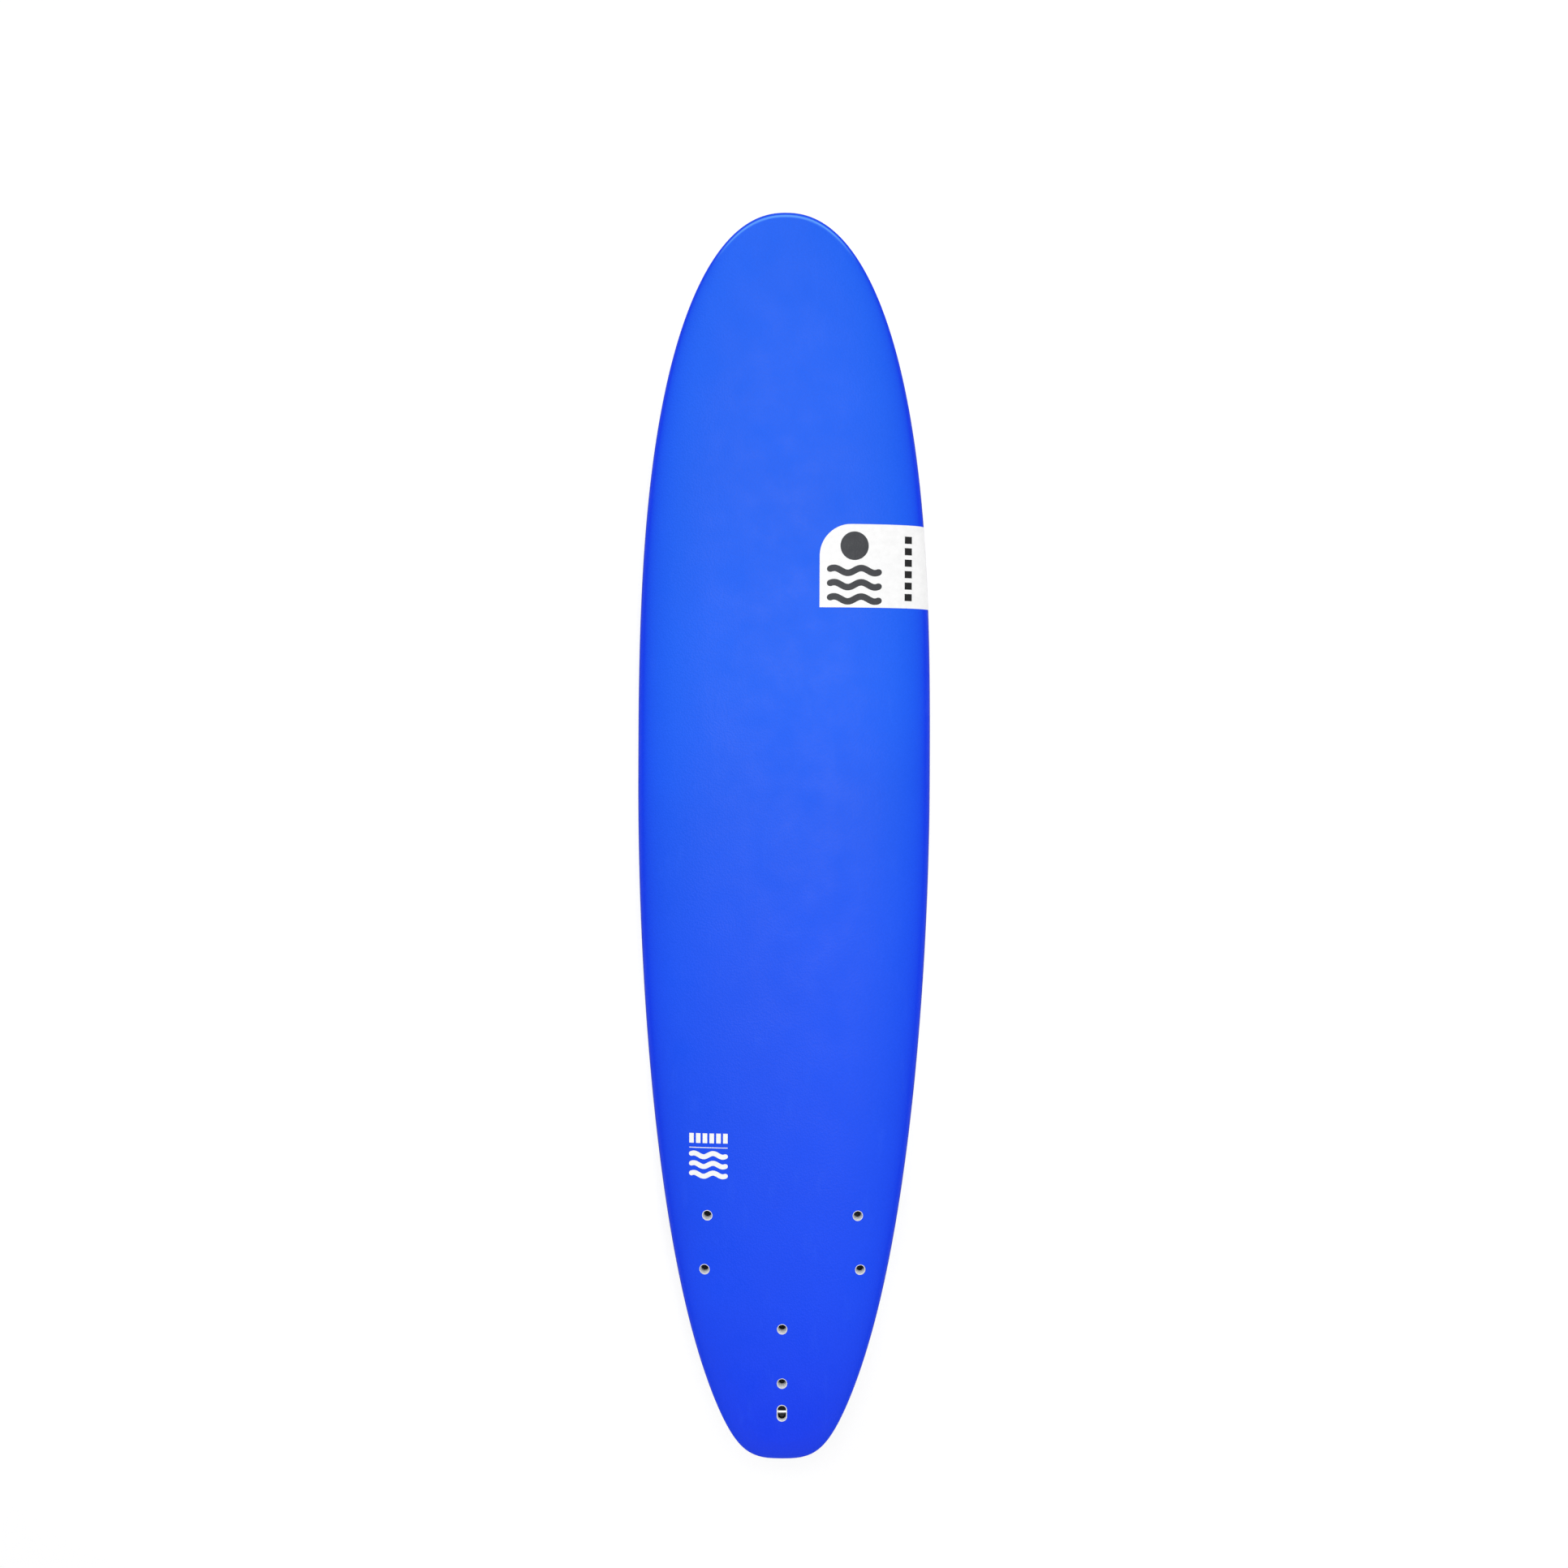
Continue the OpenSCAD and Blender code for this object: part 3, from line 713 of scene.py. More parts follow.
def deck_skin():
    lie = Lie()
    shape = lie.shape
    s = settings()
    outer = [asin(f ** (DECK_FULL / 2)) for f in CROWN_SHARES] + [radians(a) for a in RAIL_ANGLES]
    inner = [radians(a) for a in DECK_INSIDE]

    def place(column, row):
        t, side = spoke(column)
        if row >= len(outer):
            return shape.ring(inner[row - len(outer)], t, side, SKIN_LAYER)
        a = outer[row]
        point = shape.ring(a, t, side)
        if a <= pi / 2:
            point.z += s.lip_height * nose_lip(shape, t, max(sin(a), 0) ** (2 / DECK_FULL))
        # the skin's edge is eased where it meets the bottom sheet
        ease = DECK_EASE[0] * smoothstep(radians(DECK_EASE[1]), radians(SEAM), a)
        return drawn_in(shape, point, a, t, side, ease)

    bm = woven(COLUMNS, len(outer) + len(inner) - 1, place)
    deck = piece("deck_soft_skin", bm, foam_deck(), lie.matrix)
    top = Vector((0, 0, RECESS_DEPTH))
    cutters = plug_cutters(deck, lie, s.rim_radius + BARREL_GAP, -30 * MM, 30 * MM, lambda floor: floor + top)
    bar, _ = lie.leash()
    slot = rod(CUP_WALL + BARREL_GAP, -40 * MM, 40 * MM, -SLOT_W / 2)
    at = lie.at((0, bar.y - BAR_AHEAD, bar.z))
    cutters.append(cutter(deck, slotted(slot, SLOT_W, SLOT_L, 48), at))
    combine(deck, cutters, "DIFFERENCE", CUT_SHARP)
    holes = [lie.plug(name) for name in PLUGS] + [bar]
    smooth_round(deck, lie, holes, shape.deck_normal)
    mark_tilt_and_lip(deck, lie, holes)
    belongs(deck, "board", "soft_skin", "deck_skin")


def mark_tilt_and_lip(deck, lie, holes):
    """Stores how far the deck tilts and where its nose lip is, for the painted shade over the rails and the
    painted highlight on the lip in its material.
    """
    shape = lie.shape
    for key in ("tilt", "lip"):
        deck.data.attributes.new(key, "FLOAT", "POINT")
    tilts, lips = [deck.data.attributes[key].data for key in ("tilt", "lip")]
    turn = lie.inverse.to_3x3()
    low, spine = shape.length - LIP_REACH, shape.length - SPINE_NOSE
    steps = range(OUTLINE_STEPS // 2, OUTLINE_STEPS + 1)
    edge = [(n / OUTLINE_STEPS, shape.outline(n / OUTLINE_STEPS)) for n in steps]
    ends = [(t, Vector((p.x, p.y - spine))) for t, p in edge if p.y > low]
    for n, v in enumerate(deck.data.vertices):
        at = lie.inverse @ v.co
        by_hole = min((at - hole).to_2d().length for hole in holes) < HOLE_REACH
        tilts[n].value = (shape.deck_normal(at.x, at.y) if by_hole else turn @ v.normal).z
        if at.y < low - LIP_SEARCH or at.z < shape.rail_z(at.y):
            continue
        away = Vector((abs(at.x), at.y - spine))
        t, end = min(ends, key=lambda item: abs(item[1].angle(away)))
        lips[n].value = nose_lip(shape, t, away.length / end.length)


def bottom_skin():
    lie = Lie()
    shape = lie.shape
    outer, inner = [[radians(a) for a in angles] for angles in (SHEET_OUTSIDE, SHEET_INSIDE)]
    rows = len(outer) + len(inner)

    def place(column, row):
        t, side = spoke(column)
        row %= rows
        if row >= len(outer):
            return shape.ring(inner[row - len(outer)], t, side, SKIN_LAYER)
        a = outer[row]
        ease = SHEET_EASE[0] * (1 - smoothstep(radians(SHEET_EDGE), radians(SHEET_EASE[1]), a))
        return drawn_in(shape, shape.ring(a, t, side), a, t, side, ease)

    bottom = piece("bottom_slick_sheet", woven(COLUMNS, rows, place), slick_sheet(), lie.matrix)
    cutters = plug_cutters(bottom, lie, FLANGE_R + BARREL_GAP, -12 * MM, 14 * MM, shape.on_belly)
    combine(bottom, cutters, "DIFFERENCE", CUT_SHARP)
    smooth_round(bottom, lie, [lie.plug(name) for name in PLUGS], shape.belly_normal)
    belongs(bottom, "board", "slick", "bottom_skin")


# ---- Plugs ----
RIM_BLEND = 3 * MM
FOOT_LOW = -0.1 * MM
# the black rubber washers are drawn wider than the frame's, so that they cover more of the recess floor as
# painted shade
WASHER_R = 6.5 * MM
WASHER_BORE = 3.2 * MM


def deck_plug_profile(s):
    low, rim = -RECESS_DEPTH - FLOOR_T, s.rim_proud
    return eased([
        (BOLT_HOLE_R, low, 0), (BOLT_HOLE_R, -RECESS_DEPTH, 0.3 * MM), (RECESS_R, -RECESS_DEPTH, 0.4 * MM),
        (RECESS_R + 0.3 * s.mouth_flare, -0.5 * RECESS_DEPTH, 0), (RECESS_R + s.mouth_flare, rim, 0.35 * MM),
        (s.rim_radius, rim, 0.45 * MM), (s.rim_radius, -RIM_T, 0.3 * MM), (BARREL_R, -RIM_T, 0.3 * MM),
        (BARREL_R, low, 0.5 * MM), (BOLT_HOLE_R, low, 0),
    ])


def bottom_plug_profile(high):
    bore, ceiling = POST_R + 2 * BARREL_GAP, POST_H + SOCKET_GAP
    return eased([
        (bore, FOOT_LOW, 0), (bore, ceiling, 0.3 * MM), (BOLT_HOLE_R, ceiling, 0.3 * MM),
        (BOLT_HOLE_R, high, 0.3 * MM), (BARREL_R, high, 0.5 * MM), (BARREL_R, FLANGE_T, 0.4 * MM),
        (FLANGE_R, FLANGE_T, 0.3 * MM), (FLANGE_R, FOOT_LOW, 0.6 * MM), (bore, FOOT_LOW, 0),
    ])


def washer_profile():
    corners = [(WASHER_BORE, WASHER_T), (WASHER_R, WASHER_T), (WASHER_R, 0), (WASHER_BORE, 0)]
    seam = (WASHER_BORE, WASHER_T / 2, 0)
    return eased([seam, *[(r, z, 0.25 * MM) for r, z in corners], seam])


def plug_parts():
    """Deck plugs, bottom plugs, washers and bolts."""
    lie = Lie()
    shape = lie.shape
    white, black = white_plastic(), rubber()
    # the bolts are drawn near-black, painted shade for the dark depth of the recesses
    steel = metal("dark_stainless_painted_shade", "#26272a", 0.32, 0.5, (1, 1, 6), "#17181a")
    deck_profile, ring = deck_plug_profile(settings()), washer_profile()
    for name in PLUGS:
        floor = lie.plug(name)
        across, along = shape.slope(shape.deck_z, floor.x, floor.y)
        base = shape.belly_z(floor.x, floor.y)
        slope = shape.bottom_slope(floor.y)
        under_head = floor.z + WASHER_T + 2 * FIT_GAP

        def with_deck(x, y, z):
            return smoothstep(-RIM_T - RIM_BLEND, -RIM_T, z) * (across * x + along * y)

        def with_bottom(x, y, z):
            return (1 - smoothstep(FLANGE_T, FLANGE_T + RIM_BLEND, z)) * slope * y

        def put(kind, work, bm, z, material, body, slot, sharp):
            obj = piece(f"{kind}_{name}_{work}", bm, material, lie.at((floor.x, floor.y, z)), sharp)
            belongs(obj, body, slot, f"{kind}_{name}")

        upper = lathe(deck_profile, ROUND, with_deck)
        put("deck_plug", "moulding", upper, floor.z + RECESS_DEPTH, white, "board", "plug", 50)
        lower = lathe(bottom_plug_profile(floor.z - FLOOR_T - FIT_GAP - base), ROUND, with_bottom)
        put("bottom_plug", "moulding", lower, base, white, "board", "plug", 50)
        put("washer", "moulding", lathe(ring, 48), floor.z + FIT_GAP, black, f"washer_{name}", "washer", 60)
        screw = bolt(under_head - base - BOLT_LOW)
        put("bolt", "turned", screw, under_head, steel, f"bolt_{name}", "bolt", 40)


THREAD_PITCH = 1 * MM
THREAD_DEPTH = 0.45 * MM
THREAD_RUNOUT = 2 * MM
ROWS_PER_PITCH = 4
PLAIN_SHANK = 8 * MM
TIP_R = 1.9 * MM
TIP_BEVEL = 0.6 * MM
TIP_DRAFT = (0.7 * MM, 1.5 * MM)
UNDER_HEAD = 0.4 * MM
SOCKET_BEVEL = 0.25 * MM
SOCKET_RIM = 0.4 * MM
DRILL_POINT = 0.3 * MM


def bolt(reach):
    """A socket-head bolt with its head's underside at 0 and its tip at -reach."""
    threaded = reach - PLAIN_SHANK
    count = ceil(threaded / THREAD_PITCH * ROWS_PER_PITCH)
    rows = [("tip", 0.0, -reach), ("tip", TIP_R, -reach)]
    for n in range(count + 1):
        rows.append(("thread", BOLT_R, -reach + TIP_BEVEL + n * (threaded - TIP_BEVEL) / count))
    rows += [("round", BOLT_R, -reach + threaded + TIP_BEVEL), ("round", BOLT_R, -UNDER_HEAD)]
    head = [(BOLT_R, 0, 0), (HEAD_R, 0, 0.2 * MM), (HEAD_R, HEAD_H, 0.5 * MM)]
    rows += [("round", r, z) for r, z in eased([*head, (SOCKET_R + SOCKET_RIM, HEAD_H, 0)])]
    floor = HEAD_H - SOCKET_DEPTH
    rows += [("hex", SOCKET_R + SOCKET_BEVEL, HEAD_H), ("hex", SOCKET_R, HEAD_H - SOCKET_BEVEL)]
    rows += [("hex", SOCKET_R, floor), ("hex", 0.0, floor - DRILL_POINT)]
    segments = 36
    sixth = pi / 3

    def place(column, row):
        kind, r, z = rows[row]
        a = 2 * pi * (column % segments) / segments
        if kind == "hex":
            r *= cos(sixth / 2) / cos(a % sixth - sixth / 2)
        if kind == "thread":
            phase = (z / THREAD_PITCH - a / (2 * pi)) % 1
            runout = smoothstep(0, THREAD_RUNOUT, z + reach)
            runout *= smoothstep(0, THREAD_RUNOUT, -reach + threaded - z)
            r -= THREAD_DEPTH * abs(2 * phase - 1) * max(runout, 0.0)
            r -= TIP_DRAFT[0] * (1 - smoothstep(0, TIP_DRAFT[1], z + reach))
        return Vector((r * cos(a), r * sin(a), z))

    return woven(segments, len(rows) - 1, place)


def leash_plug():
    lie = Lie()
    shape = lie.shape
    s = settings()
    bar_at, bar_r = lie.leash()
    leash_y = bar_at.y - BAR_AHEAD
    top = shape.deck_z(0, leash_y)
    _, along = shape.slope(shape.deck_z, 0, leash_y)
    middle, floor = -SLOT_W / 2, CUP_WALL - CUP_DEPTH

    def with_deck(x, y, z):
        return smoothstep(-5 * MM, -2 * MM, z) * along * y

    at = lie.at((0, leash_y, top))
    profile = eased([
        (middle, -CUP_DEPTH, 0), (CUP_WALL, -CUP_DEPTH, 1.5 * MM), (CUP_WALL, s.rim_proud, 0.6 * MM),
        (s.slot_flare, s.rim_proud, 0.45 * MM), (0, -4 * MM, 0), (0, floor, 2.5 * MM), (middle, floor, 0),
    ], 5)
    cup = slotted(profile, SLOT_W, SLOT_L, 64, with_deck)
    belongs(piece("leash_cup_moulding", cup, white_plastic(), at, 50), "board", "plug", "leash_plug_cup")

    # painted shade: a black lining in the lower half of the cup stands for the shade deep in it
    profile = eased([
        (middle, floor - SHADE_LINER_IN, 0), (SHADE_LINER_IN, floor - SHADE_LINER_IN, 1.5 * MM), (SHADE_LINER_IN, -SHADE_LINER_TOP, 0),
        (-SHADE_LINER_T, -SHADE_LINER_TOP, 0.3 * MM), (-SHADE_LINER_T, floor + SHADE_LINER_T, 2 * MM), (middle, floor + SHADE_LINER_T, 0),
    ])
    black = moulded_plastic("painted_shade_liner", linear("#0c0d10"), 0.45, 0.6, "#1d1e22")
    shade_liner = slotted(profile, SLOT_W, SLOT_L, 64)
    belongs(piece("leash_cup_painted_shade", shade_liner, black, at, 50), "board", "plug")

    half = SLOT_W / 2 + 0.75 * CUP_WALL
    profile = eased([(0, -half, 0), (bar_r, -half, 0.3 * MM), (bar_r, half, 0.3 * MM), (0, half, 0)])
    at = lie.at(bar_at) @ Matrix.Rotation(pi / 2, 4, "Y")
    polished = metal("drawn_stainless", "#d9dadc", 0.12, 0.2, (6, 1, 1), "#c9cbce")
    belongs(piece("leash_bar_drawn", lathe(profile, 48), polished, at, 50), "board", "steel", "leash_plug_bar")


# ---- Fins ----
FIN_DEPTH = 110 * MM
FIN_CHORD = 116 * MM
FIN_T = 7 * MM
FIN_CANT = radians(5)
FIN_END = radians(74)
FIN_RAKE = 1.8
FIN_OVERHANG = 2 * MM
FIN_HOLLOW = (16 * MM, 0.9)
FOIL_EDGE = 0.08
FOIL_BELLY = 2.4
FOIL_THINNING = 0.8
INNER_FACE = 0.15
TIP_START = 0.955
TIP_BLUNT = 0.35
PLATE_OVERLAP = 1 * MM
PLATE_LOW = -FIN_GAP - PLATE_T
ROOT_FILLET = 3 * MM
INSERT_R = 4.2 * MM
INSERT_LOW = 1.5 * MM


def blade(flat):
    """A raked fin blade. A side fin is nearly flat on its inner face."""
    rows, around = 30, 40
    deepest = sin(FIN_END)

    def place(column, row):
        d = deepest * sin(pi / 2 * row / rows)
        lead = FIN_CHORD / 2 - (FIN_CHORD + FIN_OVERHANG) * d**FIN_RAKE
        trail = FIN_HOLLOW[0] * sin(pi * d ** FIN_HOLLOW[1]) - FIN_CHORD / 2 - FIN_OVERHANG * d
        chord = lead - trail
        # v runs over the outer face from 0 to 1 at the trailing edge, and back under from -1 to 0
        column %= around
        outer = 0 < column <= around / 2
        v = 2 * column / around if column <= around / 2 else 2 * (column - around) / around
        u = (1 - cos(pi * abs(v))) / 2
        half = FIN_T / 2 * (chord / FIN_CHORD) ** FOIL_THINNING
        half *= FOIL_EDGE + FOIL_BELLY * sqrt(u) * (1 - u)
        # the last millimetres round off to the tip
        tip = sqrt(max(1 - smoothstep(TIP_START, 1, d / deepest) ** 2, 0))
        out = half * tip
        x = out if outer else -out
        if flat:
            x = (2 * out if outer else -INNER_FACE * out) - FIN_T / 2
        y = (lead + trail) / 2 + (0.5 - u) * chord * (TIP_BLUNT + (1 - TIP_BLUNT) * tip)
        z = PLATE_OVERLAP + PLATE_LOW - (FIN_DEPTH + PLATE_OVERLAP) * d
        # the root flares into the plate
        below = max(PLATE_LOW - z, 0)
        flare = ROOT_FILLET - sqrt(max(ROOT_FILLET**2 - max(ROOT_FILLET - below, 0) ** 2, 0))
        side = 0 if v in (0, 1, -1) else 1 if outer else -1
        grow = flare * sin(pi * u) ** 0.5 if side else 0
        return Vector((x + side * grow, y + flare * cos(pi * u) * 0.5, z))

    def closed(column, row):
        # the root closes on its middle; at the tip both faces already meet
        return place(column, row - 1) if row else (place(0, 0) + place(around // 2, 0)) / 2

    return woven(around, rows + 1, closed)


def mirrored(bm, matrix):
    """Moves a bmesh by a matrix that may mirror it, and keeps its faces outward."""
    bmesh.ops.transform(bm, matrix=matrix, verts=bm.verts)
    bmesh.ops.recalc_face_normals(bm, faces=bm.faces)
    return bm


def fins():
    """The three fins, each with its plate and posts. The left one mirrors the right one."""
    lie = Lie()
    shape = lie.shape
    plastic = moulded_plastic("moulded_black_nylon", colours().fin, 0.3, 0.46, "#3c3e43")
    brass = metal("turned_brass", "#c9a45a", 0.25, 0.4, (1, 1, 6), "#b8924a")
    middle_line, low, sleeve = -PLATE_W / 2, -FIN_GAP - PLATE_T / 2, INSERT_R + FIT_GAP
    plate_profile = eased([
        (middle_line, PLATE_LOW, 0), (0, PLATE_LOW, 1.2 * MM),
        (0, -FIN_GAP, 0.4 * MM), (middle_line, -FIN_GAP, 0),
    ])
    peg = eased([
        (0, low, 0), (POST_R, low, 0), (POST_R, POST_H, 0.8 * MM),
        (sleeve, POST_H, 0.2 * MM), (sleeve, INSERT_LOW, 0), (0, INSERT_LOW, 0),
    ])
    for hand, name in zip((-1, 0, 1), FINS):
        flat = hand != 0
        posts = [lie.plug(f"{name}_{end}") for end in ("front", "rear")]
        front, rear = [Vector((abs(p.x), p.y, shape.belly_z(p.x, p.y))) for p in posts]
        middle = (front + rear) / 2
        middle.z = shape.belly_z(middle.x, middle.y)
        toe_in = atan((rear.x - front.x) / (front.y - rear.y)) if flat else 0
        slope = atan(shape.bottom_slope(middle.y))
        foot = Matrix.Translation(middle) @ Matrix.Rotation(toe_in, 4, "Z") @ Matrix.Rotation(slope, 4, "X")
        cant = Matrix.Rotation(-FIN_CANT if flat else 0, 4, "Y")
        put = lie.matrix @ Matrix.Scale(-1 if hand < 0 else 1, 4, (1, 0, 0))
        span = (front - rear).to_2d().length
        plate = mirrored(slotted(plate_profile, PLATE_W, span + PLATE_W, 56), put @ foot)
        fin = piece(f"fin_{name}_moulding", plate, plastic, None, CUT_SHARP)
        others = [piece("blade", mirrored(blade(flat), put @ foot @ cant), plastic)]
        for base in (front, rear):
            others.append(piece("post", mirrored(lathe(peg, 48), put @ Matrix.Translation(base)), plastic))
        combine(fin, others, "UNION", CUT_SHARP)
        belongs(fin, f"fin_{name}", "fin", f"fin_{name}")
        for end in ("front", "rear"):
            dress(frame["nodes"][f"fin_insert_{name}_{end}"], brass)


def dress(obj, material):
    """Gives a frame node its material."""
    obj.data.materials.clear()
    obj.data.materials.append(material)


def inner_layers():
    """The blank, stringers and laminates inside keep the frame's own shape."""
    foam, wood, glass = bead_foam(), sawn_wood(), glass_laminate()
    for node, obj in frame["nodes"].items():
        if node.startswith("foam_core"):
            dress(obj, foam)
        elif node.startswith("stringer"):
            dress(obj, wood)
        elif node.endswith("_laminate"):
            dress(obj, glass)


# ---- Printed marks ----
class Print:
    """Lays flat shapes on the deck: s is the distance from the centre line over the crown, y along it."""

    def __init__(self):
        self.lie = Lie()
        self.shape = self.lie.shape
        deck = bpy.data.objects["deck_soft_skin"]
        self.tree = BVHTree.FromObject(deck, bpy.context.evaluated_depsgraph_get())
        self.sections = {}

    def section(self, y):
        """The deck's cross-section at y, as (distance from the centre line, x, z) to below the rail."""
        key = round(y / (0.1 * MM))
        if key not in self.sections:
            half, rail = self.shape.half_width(y), self.shape.rail_z(y)
            t = self.shape.thickness(y)
            line, gone, last = [], 0, None
            for n in range(261):
                a = radians(130) * n / 260
                if a <= pi / 2:
                    x = half * sin(a) ** (2 / DECK_FULL)
                    z = rail + (1 - self.shape.rail_at) * t * cos(a)
                else:
                    x = half * sin(a) ** (2 / BOTTOM_FULL)
                    z = rail - self.shape.rail_at * t * (-cos(a)) ** (2 / BOTTOM_ROUND)
                gone += hypot(x - last[0], z - last[1]) if last else 0
                last = (x, z)
                line.append((gone, x, z))
            self.sections[key] = line
        return self.sections[key]

    def on_deck(self, s, y, proud):
        """The point proud of the deck at (s, y), in the frame's space."""
        line = self.section(y)
        reach = abs(s)
        low, high = 0, len(line) - 1
        while high - low > 1:
            middle = (low + high) // 2
            low, high = (middle, high) if line[middle][0] <= reach else (low, middle)
        part = (reach - line[low][0]) / max(line[high][0] - line[low][0], 1e-9)
        part = min(max(part, 0), 1)
        x = line[low][1] + part * (line[high][1] - line[low][1])
        z = line[low][2] + part * (line[high][2] - line[low][2])
        at = self.lie.matrix @ Vector((x if s >= 0 else -x, y, z))
        spot, normal, _, _ = self.tree.find_nearest(at)
        return spot + normal * proud

    def sheet(self, columns, rows, flat, proud):
        """A closed film whose flat(column, row) gives (s, y), with its top proud of the deck."""
        bm = bmesh.new()
        bmesh.ops.create_grid(bm, x_segments=columns, y_segments=rows, size=1)
        for v in bm.verts:
            s, y = flat(round((v.co.x + 1) / 2 * columns), round((v.co.y + 1) / 2 * rows))
            v.co = self.on_deck(s, y, proud)
        bmesh.ops.remove_doubles(bm, verts=bm.verts, dist=MERGE)
        bm.normal_update()
        up = self.lie.matrix.to_3x3() @ Vector((0, 0, 1))
        if sum(f.normal.dot(up) * f.calc_area() for f in bm.faces) < 0:
            bmesh.ops.reverse_faces(bm, faces=bm.faces)
        bmesh.ops.solidify(bm, geom=bm.faces[:], thickness=FILM)
        return bm

    def wave(self, s0, s1, y0, thickness, swing, period, proud):
        """A wavy band with round ends from s0 to s1 about y0."""
        columns, rows = 72, 4
        half = thickness / 2
        turn = 2 * pi / period

        def flat(column, row):
            # columns lie close together at the round ends
            s = s0 + (s1 - s0) * (1 - cos(pi * column / columns)) / 2
            inside = min(s - s0, s1 - s)
            body = sqrt(max(1 - max(1 - inside / half, 0) ** 2, 0))
            slope = swing * turn * cos(turn * (s - s0))
            off = half * body * (2 * row / rows - 1)
            run = hypot(1, slope)
            return s - off * slope / run, y0 + swing * sin(turn * (s - s0)) + off / run

        return self.sheet(columns, rows, flat, proud)

    def block(self, s0, s1, y0, y1, columns, rows, proud):
        def flat(column, row):
            return s0 + (s1 - s0) * column / columns, y0 + (y1 - y0) * row / rows

        return self.sheet(columns, rows, flat, proud)


FILM = 0.12 * MM
PANEL_PROUD = 0.25 * MM
MOTIF_PROUD = 0.45 * MM
TAIL_PROUD = 0.3 * MM
PANEL_LOW = 1574.5 * MM
PANEL_HIGH = 1726.5 * MM
PANEL_S = 64 * MM
PANEL_CORNER = 58 * MM
PANEL_GRID = (96, 44)
PANEL_CROWDING = 1.6
PANEL_REACH = 0.985
SUN_AT = (128 * MM, 1687 * MM)
SUN_R = 26 * MM
SUN_GRID = (64, 12)
PANEL_WAVES = (78 * MM, 178 * MM)
PANEL_WAVE_ROWS = (1642 * MM, 1616 * MM, 1590 * MM)
DASHES = (222 * MM, 236 * MM)
TAIL_LEFT = -173 * MM
TAIL_RIGHT = -101.5 * MM
TAIL_WAVE_ROWS = (566 * MM, 548 * MM, 530 * MM)


def printed_marks():
    """A white panel over the right rail with a sun and waves on it, and small white bars by the tail."""
    prints = Print()
    white = print_ink("screen_print_white", colours().panel)
    grey = print_ink("screen_print_charcoal", colours().motif)
    black = print_ink("screen_print_black", linear("#141416"))

    def panel(column, row):
        y = PANEL_LOW + (PANEL_HIGH - PANEL_LOW) * (1 - (1 - row / PANEL_GRID[1]) ** PANEL_CROWDING)
        above = max(y - (PANEL_HIGH - PANEL_CORNER), 0)
        start = PANEL_S + PANEL_CORNER - sqrt(max(PANEL_CORNER**2 - above**2, 0))
        end = prints.section(y)[-1][0] * PANEL_REACH
        return start + (end - start) * column / PANEL_GRID[0], y

    def sun(column, row):
        r = SUN_R * row / SUN_GRID[1]
        a = 2 * pi * (column % SUN_GRID[0]) / SUN_GRID[0]
        return SUN_AT[0] + r * cos(a), SUN_AT[1] + r * sin(a)

    joined([prints.sheet(*PANEL_GRID, panel, PANEL_PROUD)], "print_panel_white", white)

    parts = [prints.sheet(*SUN_GRID, sun, MOTIF_PROUD)]
    for y in PANEL_WAVE_ROWS:
        parts.append(prints.wave(*PANEL_WAVES, y, 12 * MM, 4.5 * MM, 50 * MM, MOTIF_PROUD))
    joined(parts, "print_sun_and_waves", grey)

    lows = [(1588 + 21 * n) * MM for n in range(6)]
    parts = [prints.block(*DASHES, low, low + 13 * MM, 4, 6, MOTIF_PROUD) for low in lows]
    joined(parts, "print_rail_dashes", black)

    lefts = [TAIL_LEFT + 12.6 * n * MM for n in range(6)]
    parts = [prints.block(s, s + 8.5 * MM, 588 * MM, 606 * MM, 3, 6, TAIL_PROUD) for s in lefts]
    parts.append(prints.block(TAIL_LEFT, TAIL_RIGHT, 579 * MM, 580.4 * MM, 24, 1, TAIL_PROUD))
    for y in TAIL_WAVE_ROWS:
        parts.append(prints.wave(TAIL_LEFT, TAIL_RIGHT, y, 9 * MM, 3.2 * MM, 35.75 * MM, TAIL_PROUD))
    joined(parts, "print_tail_bars", white)


def joined(parts, name, material):
    """One printed piece from bmeshes that don't touch."""
    whole = bmesh.new()
    for bm in parts:
        mesh = bpy.data.meshes.new("part")
        bm.to_mesh(mesh)
        bm.free()
        whole.from_mesh(mesh)
        bpy.data.meshes.remove(mesh)
    return belongs(piece(name, whole, material, None, 60), "board", "soft_skin")


# ---- Stage ----
REST_HEIGHT = 60 * MM
FLOOR_HALF = 40
FLOOR_GLOW = 0.55
CAMERA_AT = (0, 1.2501, 3.0)
CAMERA_LENS = 36.4
CAMERA_ROLL = radians(0.194)
CAMERA_FAR = 60
# grey of the light from the horizon (0) to straight above (1), and of what the camera sees behind
SKY = [(0, 0.3), (0.3, 0.7), (0.55, 0.9), (0.8, 0.55), (0.92, 0.06), (1, 0.05)]
BACKDROP = (0.93, 0.93, 0.93, 1)
# name, place, size and power
SOFTBOXES = [
    ("softbox_over_nose", (0.0, 0.95, 3.7), (1.2, 1.3), 34),
    ("softbox_right_rear", (0.45, -0.4, 3.7), (0.5, 1.5), 18),
]
WINDOW_WAY = (0.15, -0.75, -1)
WINDOW_ANGLE = radians(50)
WINDOW_POWER = 0.64
BLOCKS_AT = (0.72, 1.62)
BLOCK_SIZE = (0.26, 0.07, 1)
BLOCK_ROUND = 12 * MM


def placed(name, data, scene):
    obj = bpy.data.objects.new(name, data)
    scene.collection.objects.link(obj)
    return obj


